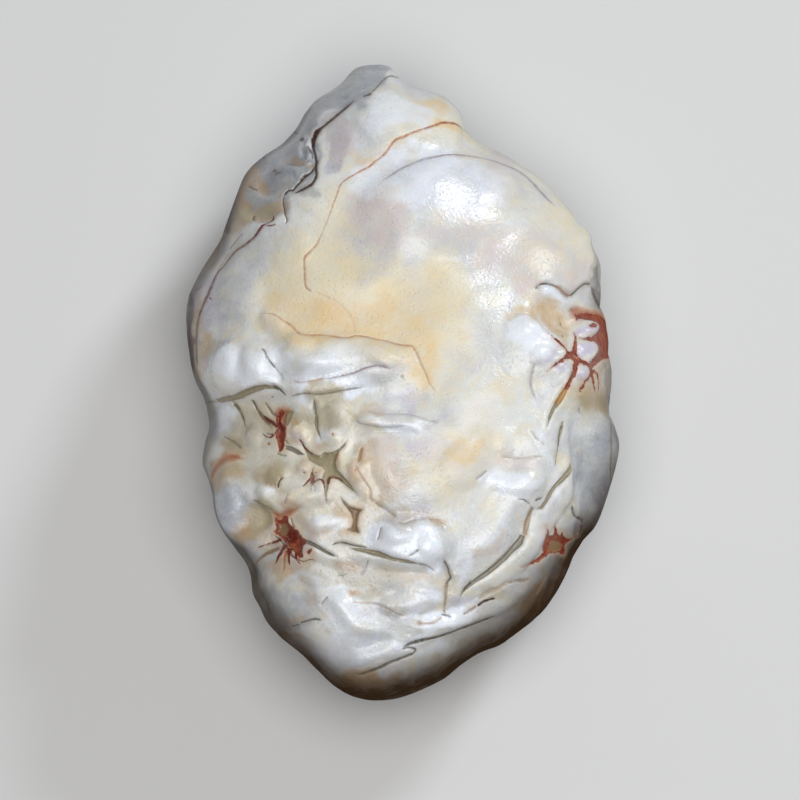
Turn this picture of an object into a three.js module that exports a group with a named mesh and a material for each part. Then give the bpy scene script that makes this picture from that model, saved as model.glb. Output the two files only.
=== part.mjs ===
// An agate pebble: one piece of wind-worn, milky agate that lies on its back, with a face of
// rolls, ledges, slits and iron-stained pits. It is modelled in millimetres, +Z up, with its
// origin in the middle of the small flat spot that it rests on.
//
// The face is drawn on a plan: a sheet 80 mm square, looked at along the line of sight that shows
// the face best. A plan point is [x, y] in millimetres from the sheet's upper left corner, with x
// to the right and y down. Heights of the relief are millimetres out of the worn body.
import * as THREE from "three";
import { mergeVertices } from "three/addons/utils/BufferGeometryUtils.js";

// The worn body
const PLAN_CENTRE = [40.2, 38.0];
const LOOK_TILT = THREE.MathUtils.degToRad(15); // the plan's line of sight, from the vertical
const FACE_HEIGHT = 15.0; // from the widest line to the crown of the face
const BACK_DEPTH = 13.4; // from the widest line to the lowest point, before the flat spot
const FLAT_SPOT_CUT = 0.55; // how far the flat spot cuts into the back
const FACE_FULLNESS = 2.35; // 2 is an ellipse, and more is squarer
const BACK_FULLNESS = 2.15;
const RIM_DETAIL_FROM = 0.72; // share of the radius where the outline's own bumps begin
const RIM_LIFTS = [1.1, 0.8, 0.5]; // how far the widest line waves up and down
const RIM_RELIEF = 0.35; // share of the relief that is left at the widest line

// The facets
const FINE_EDGE = 0.76; // beside a ledge or slit
const FACE_EDGE = 1.45;
const BACK_EDGE = 2.5;
const BACK_FINE_EDGE = 1.3;
const FINE_BAND = 0.85; // how far from a line the fine facets reach
const SNAP_BAND = 0.36; // vertices this near to a line are moved onto it
const REFINE_ROUNDS = 7;
const NARROWEST_SLIT = 0.4; // half-width below which a facet can't show a slit
const LINE_REACH = 6; // beyond this a line has no effect
const NORMAL_STEP = 0.02; // how far apart the body is felt for its normal

// The widest line of the stone as the plan shows it, clockwise from the top
const OUTLINE = [
  [36.0, 6.6], [38.5, 6.5], [39.5, 7.1], [40.3, 8.1], [41.5, 8.7], [43.2, 9.4], [44.8, 10.2],
  [46.0, 11.3], [46.7, 12.8], [47.6, 13.8], [49.5, 15.1], [52.0, 16.9], [54.3, 18.4],
  [55.6, 19.8], [57.0, 21.5], [57.9, 22.6], [59.2, 23.4], [59.7, 24.8], [60.3, 26.0],
  [60.1, 28.0], [60.0, 30.5], [60.5, 32.3], [60.9, 34.2], [60.9, 36.0], [61.3, 37.4],
  [61.4, 39.5], [61.0, 41.2], [61.3, 43.0], [61.6, 44.7], [61.4, 46.8], [61.0, 49.0],
  [60.4, 51.0], [59.6, 52.6], [58.4, 53.9], [57.4, 55.4], [56.6, 57.2], [55.3, 59.4],
  [53.6, 61.6], [51.6, 63.2], [50.0, 64.4], [48.0, 65.2], [46.2, 66.2], [44.2, 67.5],
  [42.0, 68.4], [39.5, 69.2], [37.0, 69.5], [35.0, 69.2], [33.2, 68.2], [31.8, 66.8],
  [30.2, 65.0], [28.5, 63.4], [27.1, 61.8], [26.4, 60.4], [25.6, 59.0], [25.3, 57.6],
  [24.6, 56.2], [23.4, 54.6], [22.5, 53.0], [21.9, 51.6], [21.5, 49.7], [20.9, 48.3],
  [20.3, 46.8], [20.5, 45.0], [20.8, 43.0], [20.5, 41.2], [20.1, 39.6], [19.4, 38.0],
  [19.0, 36.2], [18.7, 34.0], [18.6, 32.0], [18.7, 30.0], [19.1, 28.6], [19.9, 27.0],
  [21.0, 25.5], [21.9, 24.2], [22.5, 22.4], [23.0, 20.5], [23.6, 18.7], [24.5, 17.2],
  [26.3, 15.6], [28.0, 14.4], [29.4, 12.9], [30.4, 11.2], [31.4, 9.9], [33.0, 8.8],
  [34.2, 7.9], [35.0, 7.1],
];

// Swells and hollows of the face: centre, the two radii, the turn in degrees and the height
const SWELLS = [
  { name: "top lobe", at: [40.6, 12.2], radii: [6.5, 4.4], turn: -20, rise: 0.8 },
  { name: "forehead", at: [44.8, 20.8], radii: [11.5, 5.6], turn: 12, rise: 1.3 },
  { name: "left forehead hollow", at: [35.2, 24.4], radii: [5.2, 5.2], turn: 0, rise: -0.5 },
  { name: "middle hollow", at: [41.2, 30.2], radii: [6.0, 3.6], turn: -20, rise: -0.6 },
  { name: "amber hollow", at: [33.0, 31.6], radii: [5.2, 2.6], turn: 0, rise: -0.4 },
  { name: "upper right lobe", at: [54.0, 26.8], radii: [4.0, 3.0], turn: 30, rise: 0.8 },
  { name: "right shoulder", at: [57.8, 25.6], radii: [2.6, 3.6], turn: 0, rise: 0.6 },
  { name: "right recess", at: [56.4, 31.6], radii: [4.6, 2.8], turn: 10, rise: -1.0 },
  { name: "right knob", at: [53.2, 34.8], radii: [3.4, 3.9], turn: -10, rise: 1.2 },
  { name: "right hollow", at: [58.3, 45.8], radii: [2.6, 6.4], turn: 3, rise: -1.3 },
  { name: "right rim swell", at: [60.8, 44.6], radii: [1.8, 4.6], turn: 0, rise: 0.3 },
  { name: "star mound", at: [56.6, 38.4], radii: [3.2, 3.2], turn: 0, rise: 0.4 },
  { name: "temple", at: [24.6, 36.9], radii: [4.2, 3.9], turn: 0, rise: 1.2 },
  { name: "temple knuckle left", at: [23.5, 37.2], radii: [1.6, 3.0], turn: -8, rise: 0.5 },
  { name: "temple knuckle right", at: [26.7, 36.9], radii: [1.7, 2.6], turn: 8, rise: 0.45 },
  { name: "socket", at: [27.2, 43.0], radii: [7.6, 4.4], turn: -8, rise: -1.5 },
  { name: "inner socket", at: [33.0, 44.2], radii: [5.0, 3.6], turn: -10, rise: -0.8 },
  { name: "middle swell", at: [42.5, 46.2], radii: [7.5, 5.4], turn: 20, rise: 0.7 },
  { name: "amber knob", at: [46.3, 46.6], radii: [3.2, 2.6], turn: 30, rise: 0.45 },
  { name: "left cheek", at: [23.4, 50.4], radii: [3.0, 5.0], turn: 12, rise: 1.1 },
  { name: "chin hollow", at: [29.0, 52.8], radii: [3.4, 3.0], turn: -20, rise: -0.9 },
  { name: "mouth knob", at: [41.0, 54.4], radii: [4.4, 3.0], turn: -8, rise: 1.4 },
  { name: "under the mouth", at: [37.0, 57.8], radii: [7.6, 2.4], turn: -6, rise: -0.8 },
  { name: "lower knob", at: [42.0, 59.6], radii: [3.0, 1.7], turn: 4, rise: 0.5 },
  { name: "chin", at: [33.4, 61.4], radii: [5.4, 3.4], turn: -20, rise: 0.7 },
  { name: "chin flat", at: [36.6, 64.0], radii: [3.0, 1.6], turn: 0, rise: -0.35 },
  { name: "right cheek plain", at: [48.5, 41.0], radii: [5.0, 6.0], turn: 0, rise: 0.3 },
];

// Swells and hollows of the back, on the same plan seen through the stone
const BACK_SWELLS = [
  { name: "heel", at: [41.0, 58.0], radii: [11.0, 8.0], turn: 0, rise: 0.7 },
  { name: "upper back hollow", at: [45.0, 18.5], radii: [8.0, 6.5], turn: 20, rise: -1.1 },
  { name: "left back swell", at: [27.0, 33.0], radii: [6.5, 9.0], turn: 10, rise: 0.8 },
  { name: "right back hollow", at: [54.5, 43.0], radii: [5.0, 8.0], turn: -10, rise: -0.9 },
  { name: "left back hollow", at: [27.5, 49.0], radii: [5.0, 4.5], turn: -30, rise: -0.8 },
  { name: "top back swell", at: [35.0, 14.0], radii: [5.0, 4.0], turn: 0, rise: 0.6 },
];

// Ledges of the back, higher on the left of the path as the plan shows it
const BACK_LEDGES = [
  { name: "back crack", up: 0.35, down: 0.4, upReach: 3.0, downReach: 2.6,
    path: [[39.9, 7.6], [41.0, 10.5], [41.2, 13.6], [43.6, 17.2], [44.2, 21.6], [47.6, 26.0],
      [48.6, 30.6]] },
  { name: "left back fold", up: 0.5, down: 0.5, upReach: 2.6, downReach: 2.6,
    path: [[19.6, 38.6], [22.2, 40.2], [25.2, 40.0], [28.4, 42.2], [32.0, 42.4]] },
  { name: "right back fold", up: 0.5, down: 0.5, upReach: 2.6, downReach: 2.2,
    path: [[60.9, 41.4], [58.4, 43.8], [57.6, 47.4], [54.2, 50.6], [52.0, 55.0], [47.6, 57.6]] },
  { name: "lower back fold", up: 0.4, down: 0.45, upReach: 2.4, downReach: 2.4,
    path: [[25.9, 59.4], [29.0, 58.4], [32.6, 59.8], [36.8, 58.6], [40.6, 60.4]] },
];

// Rounded rolls: a path, the half-width, the height and how full the roll is (1 is fullest)
const ROLLS = [
  { name: "brow", half: 2.3, rise: 1.1, soft: 1.6,
    path: [[26.9, 33.4], [29.3, 35.6], [32.8, 36.4], [36.5, 36.2], [39.6, 37.4], [40.6, 39.6]] },
  { name: "eyelid", half: 0.95, rise: 0.5, soft: 1,
    path: [[28.8, 39.0], [31.0, 39.0], [34.0, 38.6], [37.0, 37.9], [39.2, 38.2]] },
  { name: "bridge", half: 0.95, rise: 0.55, soft: 1,
    path: [[35.4, 41.9], [37.6, 42.4], [40.5, 42.6], [43.2, 43.2]] },
  { name: "upper lip", half: 1.0, rise: 0.6, soft: 1.2,
    path: [[25.0, 49.0], [26.6, 49.7], [28.2, 50.4], [30.2, 49.8], [32.6, 48.8], [34.2, 48.3]] },
  { name: "lower lip", half: 1.5, rise: 0.9, soft: 1.3,
    path: [[29.6, 52.0], [31.6, 52.9], [34.0, 52.8], [36.6, 52.9], [38.4, 54.0]] },
  { name: "cheek fold", half: 2.3, rise: 1.0, soft: 1.6,
    path: [[53.4, 40.0], [53.4, 44.0], [52.8, 47.4], [51.0, 50.6], [48.6, 54.4], [46.2, 57.2]] },
  { name: "jaw fold", half: 1.35, rise: 0.7, soft: 1.2,
    path: [[46.2, 60.6], [48.6, 58.6], [51.4, 55.8], [53.4, 52.6], [55.4, 49.6], [56.6, 44.0]] },
  { name: "outer jaw fold", half: 1.2, rise: 0.6, soft: 1.2,
    path: [[40.6, 63.1], [44.4, 62.1], [48.6, 60.6], [51.4, 58.6], [54.0, 57.4]] },
  { name: "chin fold", half: 1.1, rise: 0.5, soft: 1.4,
    path: [[33.4, 58.6], [34.6, 60.6], [36.2, 62.3], [39.4, 62.4]] },
  { name: "plate lip", half: 0.7, rise: 0.35, soft: 1.4,
    path: [[32.2, 13.0], [31.2, 14.4], [30.9, 16.0], [30.9, 17.6], [30.2, 18.6]] },
  { name: "pink fold", half: 1.1, rise: 0.45, soft: 1.4,
    path: [[34.6, 45.0], [34.8, 46.8], [36.2, 48.2], [36.8, 49.6], [36.0, 50.6]] },
];

// Ledges: the stone stands higher on the left of the path, as one walks along it
const LEDGES = [
  { name: "plate step", up: 0.45, down: 0.6, upReach: 2.6, downReach: 3.4,
    path: [[40.0, 7.8], [39.0, 7.6], [38.2, 8.3], [37.2, 9.6], [35.2, 10.6], [33.8, 11.8],
      [32.4, 13.2], [31.5, 14.6], [31.6, 16.6], [31.5, 18.3], [30.6, 19.2], [28.8, 20.1],
      [28.6, 21.2], [28.7, 22.9]] },
  { name: "flap step", up: 0.3, down: 0.7, upReach: 2.2, downReach: 2.2,
    path: [[27.7, 22.9], [26.2, 23.2], [25.5, 24.2], [24.0, 25.3], [22.0, 27.2], [21.0, 29.2],
      [20.2, 31.5], [20.0, 34.5], [20.0, 38.0]] },
  { name: "top lobe step", up: 0.25, down: 0.2, upReach: 2.4, downReach: 1.6,
    path: [[34.2, 19.0], [36.6, 17.0], [39.3, 14.9], [41.0, 14.2], [43.0, 13.5], [45.0, 13.0],
      [47.2, 13.2]] },
  { name: "forehead step", up: 0.4, down: 0.25, upReach: 3.6, downReach: 1.6,
    path: [[57.0, 21.4], [55.4, 20.7], [53.5, 19.0], [51.2, 17.2], [48.7, 16.4], [45.8, 16.1],
      [43.5, 16.5], [41.0, 17.3], [38.8, 18.4]] },
  { name: "brow step", up: -0.3, down: -0.2, upReach: 2.0, downReach: 1.6,
    path: [[26.2, 32.0], [28.5, 32.7], [30.2, 33.9], [33.0, 33.9], [35.7, 33.9], [39.0, 34.7],
      [41.2, 35.3], [42.3, 37.2], [43.4, 39.4]] },
  { name: "temple ledge", up: 0.55, down: 0.8, upReach: 1.8, downReach: 2.2,
    path: [[20.6, 40.4], [22.2, 40.3], [23.6, 40.0], [25.0, 39.5], [26.4, 39.0], [27.8, 39.0],
      [29.0, 39.8], [31.0, 39.7], [33.0, 39.5], [35.0, 39.1], [37.6, 38.6]] },
  { name: "bridge ledge", up: 0.25, down: 0.35, upReach: 1.0, downReach: 1.8,
    path: [[35.2, 42.2], [37.0, 42.9], [39.2, 43.1], [41.4, 43.2]] },
  { name: "upper lip ledge", up: 0.35, down: 0.55, upReach: 1.2, downReach: 1.6,
    path: [[24.8, 49.8], [26.5, 50.5], [27.8, 51.3], [29.2, 51.0], [31.0, 50.5], [33.6, 49.8]] },
  { name: "right notch", up: 0.45, down: 0.7, upReach: 2.0, downReach: 1.6,
    path: [[53.0, 29.8], [53.8, 29.0], [54.8, 29.0], [55.8, 29.4], [57.2, 29.8], [57.9, 29.0],
      [58.7, 28.7], [59.3, 29.7], [60.2, 31.4]] },
  { name: "mouth ledge", up: 0.3, down: 0.5, upReach: 1.6, downReach: 1.8,
    path: [[33.0, 54.6], [34.4, 54.1], [36.0, 54.5], [38.5, 55.1], [40.5, 55.9], [42.5, 56.4],
      [43.6, 57.2]] },
  { name: "jaw step", up: 0.4, down: 0.4, upReach: 1.6, downReach: 1.4,
    path: [[43.5, 55.4], [44.2, 56.0], [44.8, 57.3], [44.4, 58.4], [44.5, 60.2], [44.3, 61.3]] },
  { name: "lower right notch", up: 0.5, down: 0.5, upReach: 1.6, downReach: 1.4,
    path: [[57.8, 54.4], [57.8, 52.6], [57.0, 51.6], [56.8, 50.8]] },
];

// Slits with a flat floor: a path, the widest half-width and the depth
const SLITS = [
  { name: "temple slit", half: 0.36, depth: 0.5,
    path: [[21.0, 40.5], [22.6, 40.6], [24.2, 40.1], [25.8, 39.5], [27.4, 39.3], [28.6, 39.8]] },
  { name: "socket slit 1", half: 0.2, depth: 0.3,
    path: [[23.2, 40.8], [23.6, 41.6], [23.9, 42.4], [24.0, 43.0]] },
  { name: "socket slit 2", half: 0.22, depth: 0.35,
    path: [[25.1, 40.3], [25.4, 41.0], [25.8, 41.7], [26.6, 42.3], [27.4, 42.9]] },
  { name: "socket slit 3", half: 0.25, depth: 0.3,
    path: [[31.6, 40.3], [31.7, 41.2], [31.5, 42.0], [31.7, 43.0], [32.0, 43.9]] },
  { name: "eye slit", half: 0.42, depth: 0.5,
    path: [[29.7, 44.0], [30.8, 45.3], [32.3, 46.6], [33.8, 47.8], [35.0, 48.6], [35.8, 49.4]] },
  { name: "eye slit branch", half: 0.32, depth: 0.4,
    path: [[34.7, 43.9], [34.0, 45.2], [33.0, 46.2]] },
  { name: "forked slit", half: 0.32, depth: 0.45,
    path: [[34.1, 49.8], [35.0, 50.7], [35.5, 51.6], [35.6, 52.4], [35.9, 53.3]] },
  { name: "lip slit", half: 0.26, depth: 0.35,
    path: [[30.3, 54.0], [31.2, 54.2], [32.2, 54.6], [33.3, 55.0], [34.3, 55.5]] },
  { name: "mouth slit", half: 0.32, depth: 0.45,
    path: [[33.3, 54.4], [34.2, 54.1], [36.0, 54.5], [38.5, 55.2], [40.5, 55.9], [42.8, 56.5]] },
  { name: "jaw slit", half: 0.24, depth: 0.4,
    path: [[43.6, 55.6], [44.5, 56.7], [44.8, 57.4], [44.3, 58.2], [44.4, 59.4], [44.4, 61.0]] },
  { name: "upper cheek slit", half: 0.26, depth: 0.4,
    path: [[56.7, 46.5], [55.4, 48.0], [54.6, 48.9], [54.0, 50.2], [53.2, 51.1]] },
  { name: "lower cheek slit", half: 0.34, depth: 0.45,
    path: [[52.8, 51.0], [52.2, 52.8], [51.2, 54.5], [49.7, 56.2], [47.9, 57.9], [46.6, 58.7],
      [45.9, 59.7]] },
  { name: "star slit", half: 0.3, depth: 0.4,
    path: [[56.8, 36.8], [56.4, 38.0], [55.4, 40.0], [54.8, 41.4], [54.1, 43.1]] },
  { name: "jaw line slit", half: 0.25, depth: 0.35,
    path: [[40.0, 64.7], [40.6, 64.1], [42.7, 63.4], [45.0, 62.9], [47.5, 62.0], [49.3, 61.1]] },
  { name: "chin slit", half: 0.2, depth: 0.3,
    path: [[35.4, 67.1], [37.2, 66.6], [39.7, 65.5], [41.3, 64.9]] },
  { name: "brown slit", half: 0.24, depth: 0.4,
    path: [[46.6, 61.0], [48.0, 60.2], [49.2, 59.5], [50.6, 58.0], [52.4, 57.6]] },
];

const FACE_LINES = [...LEDGES, ...SLITS];

// Iron-stained pits: centre, the two radii, the turn in degrees and the height
const PITS = [
  { name: "socket pit", at: [27.6, 43.3], radii: [1.0, 2.0], turn: 8, rise: -0.7 },
  { name: "eye pit", at: [32.6, 46.4], radii: [1.7, 1.3], turn: -20, rise: -0.5 },
  { name: "lip pit", at: [29.0, 53.8], radii: [1.7, 2.3], turn: -25, rise: -0.9 },
  { name: "star pit", at: [56.8, 36.2], radii: [1.1, 1.0], turn: 0, rise: -0.4 },
  { name: "corner pit", at: [55.2, 54.6], radii: [1.5, 1.2], turn: 0, rise: -0.6 },
  { name: "left stain pit", at: [22.3, 46.6], radii: [0.8, 2.0], turn: -35, rise: -0.6 },
];

// Low waves that wind and sand leave all over the stone
const WAVES = { count: 9, height: 0.075, length: 8.5, spin: 2.4, seed: 0.7 };

const smooth = (low, high, x) => THREE.MathUtils.smoothstep(x, low, high);
const planToSight = ([x, y]) => [x - PLAN_CENTRE[0], PLAN_CENTRE[1] - y];

// A smooth line through plan points, cut into short straight pieces
function traced(points, closed = false, step = 0.5) {
  const bends = points.map((p) => new THREE.Vector3(...planToSight(p), 0));
  const curve = new THREE.CatmullRomCurve3(bends, closed, "centripetal");
  const pieces = Math.max(3, Math.ceil(curve.getLength() / step));
  return curve.getSpacedPoints(pieces).map((p) => [p.x, p.y]);
}

// The outline's distance from the plan's centre, for each degree of a turn
function radiusTable(line) {
  const table = new Array(360).fill(0);
  line.forEach(([x0, y0], i) => {
    const [x1, y1] = line[(i + 1) % line.length];
    for (let share = 0; share < 1; share += 0.05) {
      const x = x0 + (x1 - x0) * share;
      const y = y0 + (y1 - y0) * share;
      const degree = Math.round(THREE.MathUtils.radToDeg(Math.atan2(y, x)) + 360) % 360;
      table[degree] = Math.hypot(x, y);
    }
  });
  return table;
}

// The same table with its short bumps averaged away
function evened(table, reach) {
  return table.map((_, degree) => {
    let sum = 0;
    let weight = 0;
    for (let k = -2 * reach; k <= 2 * reach; k++) {
      const share = Math.exp(-((k / reach) ** 2));
      sum += share * table[(degree + k + 360) % 360];
      weight += share;
    }
    return sum / weight;
  });
}

function lookUp(table, angle) {
  const degree = (THREE.MathUtils.radToDeg(angle) + 360) % 360;
  const low = Math.floor(degree);
  return THREE.MathUtils.lerp(table[low % 360], table[(low + 1) % 360], degree - low);
}

const RIM = radiusTable(traced(OUTLINE, true, 0.25));
const EVEN_RIM = evened(RIM, 14);

// The worn body before its relief: a direction from the centre gives a point in the line of
// sight's frame (across, up the plan, towards the eye) and whether it lies on the face
function bodyPoint(direction) {
  const share = Math.min(1, Math.hypot(direction.x, direction.y));
  const angle = Math.atan2(direction.y, direction.x);
  const radius = THREE.MathUtils.lerp(
    lookUp(EVEN_RIM, angle),
    lookUp(RIM, angle),
    smooth(RIM_DETAIL_FROM, 1, share),
  );
  const front = direction.z >= 0;
  const fullness = front ? FACE_FULLNESS : BACK_FULLNESS;
  const height = (1 - share ** fullness) ** (1 / fullness);
  return {
    across: radius * share * Math.cos(angle),
    up: radius * share * Math.sin(angle),
    out: front ? FACE_HEIGHT * height : -BACK_DEPTH * height,
    share,
    angle,
  };
}

// The face leans along the line of sight, the back hangs straight, and the widest line waves
function toFrame({ across, up, out, share, angle }) {
  const wave = RIM_LIFTS.reduce((sum, lift, i) => sum + lift * Math.sin((i + 2) * angle + i), 0);
  const lean = Math.max(out, 0) + wave * share ** 3;
  return new THREE.Vector3(
    across,
    up / Math.cos(LOOK_TILT) - lean * Math.sin(LOOK_TILT),
    Math.min(out, 0) + lean * Math.cos(LOOK_TILT),
  );
}

// The direction that leads to a plan point of the face
function directionTo(x, y) {
  const angle = Math.atan2(y, x);
  const reach = Math.hypot(x, y);
  let share = 0.9;
  for (let i = 0; i < 12; i++) {
    const detail = smooth(RIM_DETAIL_FROM, 1, share);
    share = reach / THREE.MathUtils.lerp(lookUp(EVEN_RIM, angle), lookUp(RIM, angle), detail);
  }
  const flat = Math.min(share, 1);
  return new THREE.Vector3(
    flat * Math.cos(angle),
    flat * Math.sin(angle),
    Math.sqrt(1 - flat * flat),
  );
}

// Distance from a point to a traced line, which side it is on, how far along it lies and where
function nearest({ line, low, high }, x, y) {
  let best = { distance: Infinity, side: 1, along: 0, foot: [x, y] };
  if (x < low[0] || x > high[0] || y < low[1] || y > high[1]) return best;
  for (let i = 0; i + 1 < line.length; i++) {
    const [ax, ay] = line[i];
    const dx = line[i + 1][0] - ax;
    const dy = line[i + 1][1] - ay;
    const share = THREE.MathUtils.clamp(
      ((x - ax) * dx + (y - ay) * dy) / (dx * dx + dy * dy),
      0,
      1,
    );
    const distance = Math.hypot(x - ax - share * dx, y - ay - share * dy);
    if (distance < best.distance) {
      const side = dx * (y - ay) - dy * (x - ax) >= 0 ? 1 : -1;
      const along = (i + share) / (line.length - 1);
      best = { distance, side, along, foot: [ax + share * dx, ay + share * dy] };
    }
  }
  return best;
}

const endTaper = (along, share) => smooth(0, share, along) * smooth(0, share, 1 - along);

function swellHeight({ at, radii, turn, rise }, x, y) {
  const [cx, cy] = planToSight(at);
  const c = Math.cos(THREE.MathUtils.degToRad(turn));
  const s = Math.sin(THREE.MathUtils.degToRad(turn));
  const a = ((x - cx) * c + (y - cy) * s) / radii[0];
  const b = ((y - cy) * c - (x - cx) * s) / radii[1];
  const inside = Math.max(0, 1 - a * a - b * b);
  return rise * inside * inside * (3 - 2 * inside);
}

function rollHeight(mark, x, y) {
  const { half, rise, soft } = mark;
  const { distance, along } = nearest(mark, x, y);
  const inside = Math.max(0, 1 - (distance / half) ** 2);
  return rise * inside ** soft * endTaper(along, 0.25);
}

function ledgeHeight(mark, x, y, edge) {
  const { up, down, upReach, downReach } = mark;
  const { distance, side, along } = nearest(mark, x, y);
  if (distance > LINE_REACH) return 0;
  const signed = side * distance;
  const fade = 1 - smooth(0.5 * LINE_REACH, LINE_REACH, distance);
  const high = up * fade * Math.exp(-Math.max(signed, 0) / upReach);
  const low = -down * fade * Math.exp(Math.min(signed, 0) / downReach);
  return THREE.MathUtils.lerp(low, high, smooth(-edge, edge, signed)) * endTaper(along, 0.2);
}

function slitDepth(mark, x, y) {
  const { half, depth } = mark;
  const { distance, along } = nearest(mark, x, y);
  if (distance > LINE_REACH) return 0;
  const width = Math.max(half, NARROWEST_SLIT) * Math.sqrt(Math.sin(Math.PI * along) + 0.05);
  return depth * (1 - smooth(0.35 * width, 1.6 * width, distance)) * endTaper(along, 0.12);
}

for (const mark of [...ROLLS, ...LEDGES, ...SLITS, ...BACK_LEDGES]) {
  mark.line = traced(mark.path);
  const bounds = (pick, pad) =>
    [0, 1].map((k) => pick(...mark.line.map((p) => p[k])) + pad * LINE_REACH);
  mark.low = bounds(Math.min, -1);
  mark.high = bounds(Math.max, 1);
}

function waveHeight({ x, y, z }) {
  let sum = 0;
  for (let i = 0; i < WAVES.count; i++) {
    const turn = WAVES.spin * i + WAVES.seed;
    const lift = ((i * 0.618) % 1) * 2 - 1;
    const flat = Math.sqrt(1 - lift * lift);
    const pace = ((2 * Math.PI) / WAVES.length) * (0.6 + (0.8 * i) / WAVES.count);
    sum += Math.sin(
      pace * (x * flat * Math.cos(turn) + y * flat * Math.sin(turn) + z * lift) + 1.7 * i,
    );
  }
  return WAVES.height * sum;
}

// The relief's height over the body, for a direction and the body point that it gives
function reliefHeight(direction, { across, up }, framePoint) {
  const inner = THREE.MathUtils.lerp(RIM_RELIEF, 1, smooth(0.02, 0.4, direction.z));
  const face = smooth(-0.3, 0.02, direction.z) * inner;
  const back = smooth(-0.02, 0.4, -direction.z);
  let height = waveHeight(framePoint);
  if (face > 0) {
    let raised = 0;
    let cut = 0;
    for (const s of [...SWELLS, ...PITS]) raised += swellHeight(s, across, up);
    for (const r of ROLLS) raised += rollHeight(r, across, up);
    for (const l of LEDGES) raised += ledgeHeight(l, across, up, 0.75 * FINE_EDGE);
    for (const s of SLITS) cut = Math.max(cut, slitDepth(s, across, up));
    height += face * (raised - cut);
  }
  if (back > 0) {
    for (const s of BACK_SWELLS) height += back * swellHeight(s, across, up);
    for (const l of BACK_LEDGES) height += back * ledgeHeight(l, across, up, BACK_FINE_EDGE);
  }
  return height;
}

// The stone's surface in a direction: the worn body with its relief along the body's normal
function surfacePoint(direction) {
  const body = bodyPoint(direction);
  const worn = toFrame(body);
  const side = new THREE.Vector3(-direction.y, direction.x, 0);
  if (side.lengthSq() < 1e-8) side.set(1, 0, 0);
  side.normalize();
  const rise = new THREE.Vector3().crossVectors(direction, side);
  const step = (along) =>
    toFrame(bodyPoint(direction.clone().addScaledVector(along, NORMAL_STEP).normalize())).sub(worn);
  const normal = new THREE.Vector3().crossVectors(step(side), step(rise)).normalize();
  return worn.addScaledVector(normal, reliefHeight(direction, body, worn));
}

function closestLine(marks, x, y) {
  const all = marks.map((mark) => nearest(mark, x, y));
  return all.reduce((a, b) => (a.distance <= b.distance ? a : b));
}

// How long a facet's edge may be at a place
function wantedEdge(direction, { across, up }) {
  const onBack = direction.z < -0.12;
  const closest = closestLine(onBack ? BACK_LEDGES : FACE_LINES, across, up).distance;
  const near = onBack ? BACK_FINE_EDGE : FINE_EDGE;
  const rim = direction.z < 0.1 ? (FACE_EDGE + BACK_EDGE) / 2 : FACE_EDGE;
  const open = onBack ? BACK_EDGE : rim;
  return THREE.MathUtils.lerp(near, open, smooth(FINE_BAND / 2, 2 * FINE_BAND, closest));
}

// Splits every edge that is too long, and the longest edge of each facet it touches
function refined(directions, facets) {
  const key = (a, b) => (a < b ? `${a}_${b}` : `${b}_${a}`);
  const points = directions.map((d) => toFrame(bodyPoint(d)));
  const length = (a, b) => points[a].distanceTo(points[b]);
  const edgesOf = ([a, b, c]) => [[a, b], [b, c], [c, a]];
  const split = new Map();
  const judged = new Set();
  for (const facet of facets)
    for (const [a, b] of edgesOf(facet)) {
      if (judged.has(key(a, b))) continue;
      judged.add(key(a, b));
      const middle = directions[a].clone().add(directions[b]).normalize();
      if (length(a, b) > 1.4 * wantedEdge(middle, bodyPoint(middle))) split.set(key(a, b), middle);
    }
  for (let changed = true; changed; ) {
    changed = false;
    for (const facet of facets) {
      const edges = edgesOf(facet);
      if (!edges.some(([a, b]) => split.has(key(a, b)))) continue;
      const [a, b] = edges.reduce((p, q) => (length(...p) >= length(...q) ? p : q));
      if (split.has(key(a, b))) continue;
      split.set(key(a, b), directions[a].clone().add(directions[b]).normalize());
      changed = true;
    }
  }
  const placed = new Map();
  const vertices = [...directions];
  const middleOf = (a, b) => {
    const name = key(a, b);
    if (!split.has(name)) return -1;
    if (!placed.has(name)) placed.set(name, vertices.push(split.get(name)) - 1);
    return placed.get(name);
  };
  const made = facets.flatMap(([a, b, c]) => {
    const ab = middleOf(a, b);
    const bc = middleOf(b, c);
    const ca = middleOf(c, a);
    if (ab >= 0 && bc >= 0 && ca >= 0) return [[a, ab, ca], [ab, b, bc], [ca, bc, c], [ab, bc, ca]];
    if (ab >= 0 && bc >= 0) return [[a, ab, c], [ab, b, bc], [ab, bc, c]];
    if (bc >= 0 && ca >= 0) return [[b, bc, a], [bc, c, ca], [bc, ca, a]];
    if (ca >= 0 && ab >= 0) return [[c, ca, b], [ca, a, ab], [ca, ab, b]];
    if (ab >= 0) return [[a, ab, c], [ab, b, c]];
    if (bc >= 0) return [[b, bc, a], [bc, c, a]];
    if (ca >= 0) return [[c, ca, b], [ca, a, b]];
    return [[a, b, c]];
  });
  return { directions: vertices, facets: made };
}

// Moves the vertices beside a ledge or slit onto it, and evens out the others round them
function settled(directions, facets) {
  const onLine = directions.map((direction) => {
    if (direction.z < 0.06) return null;
    const { across, up } = bodyPoint(direction);
    const { distance, foot, along } = closestLine(FACE_LINES, across, up);
    const ended = along <= 0 || along >= 1;
    return distance < SNAP_BAND && !ended ? directionTo(...foot) : null;
  });
  const beside = directions.map(() => new Set());
  for (const facet of facets)
    for (const a of facet) for (const b of facet) if (a !== b) beside[a].add(b);
  let places = directions.map((direction, i) => onLine[i] ?? direction);
  for (let round = 0; round < 3; round++)
    places = places.map((place, i) => {
      if (onLine[i]) return place;
      const sum = new THREE.Vector3();
      for (const k of beside[i]) sum.add(places[k]);
      return sum.divideScalar(beside[i].size).lerp(place, 0.6).normalize();
    });
  return places;
}

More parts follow.
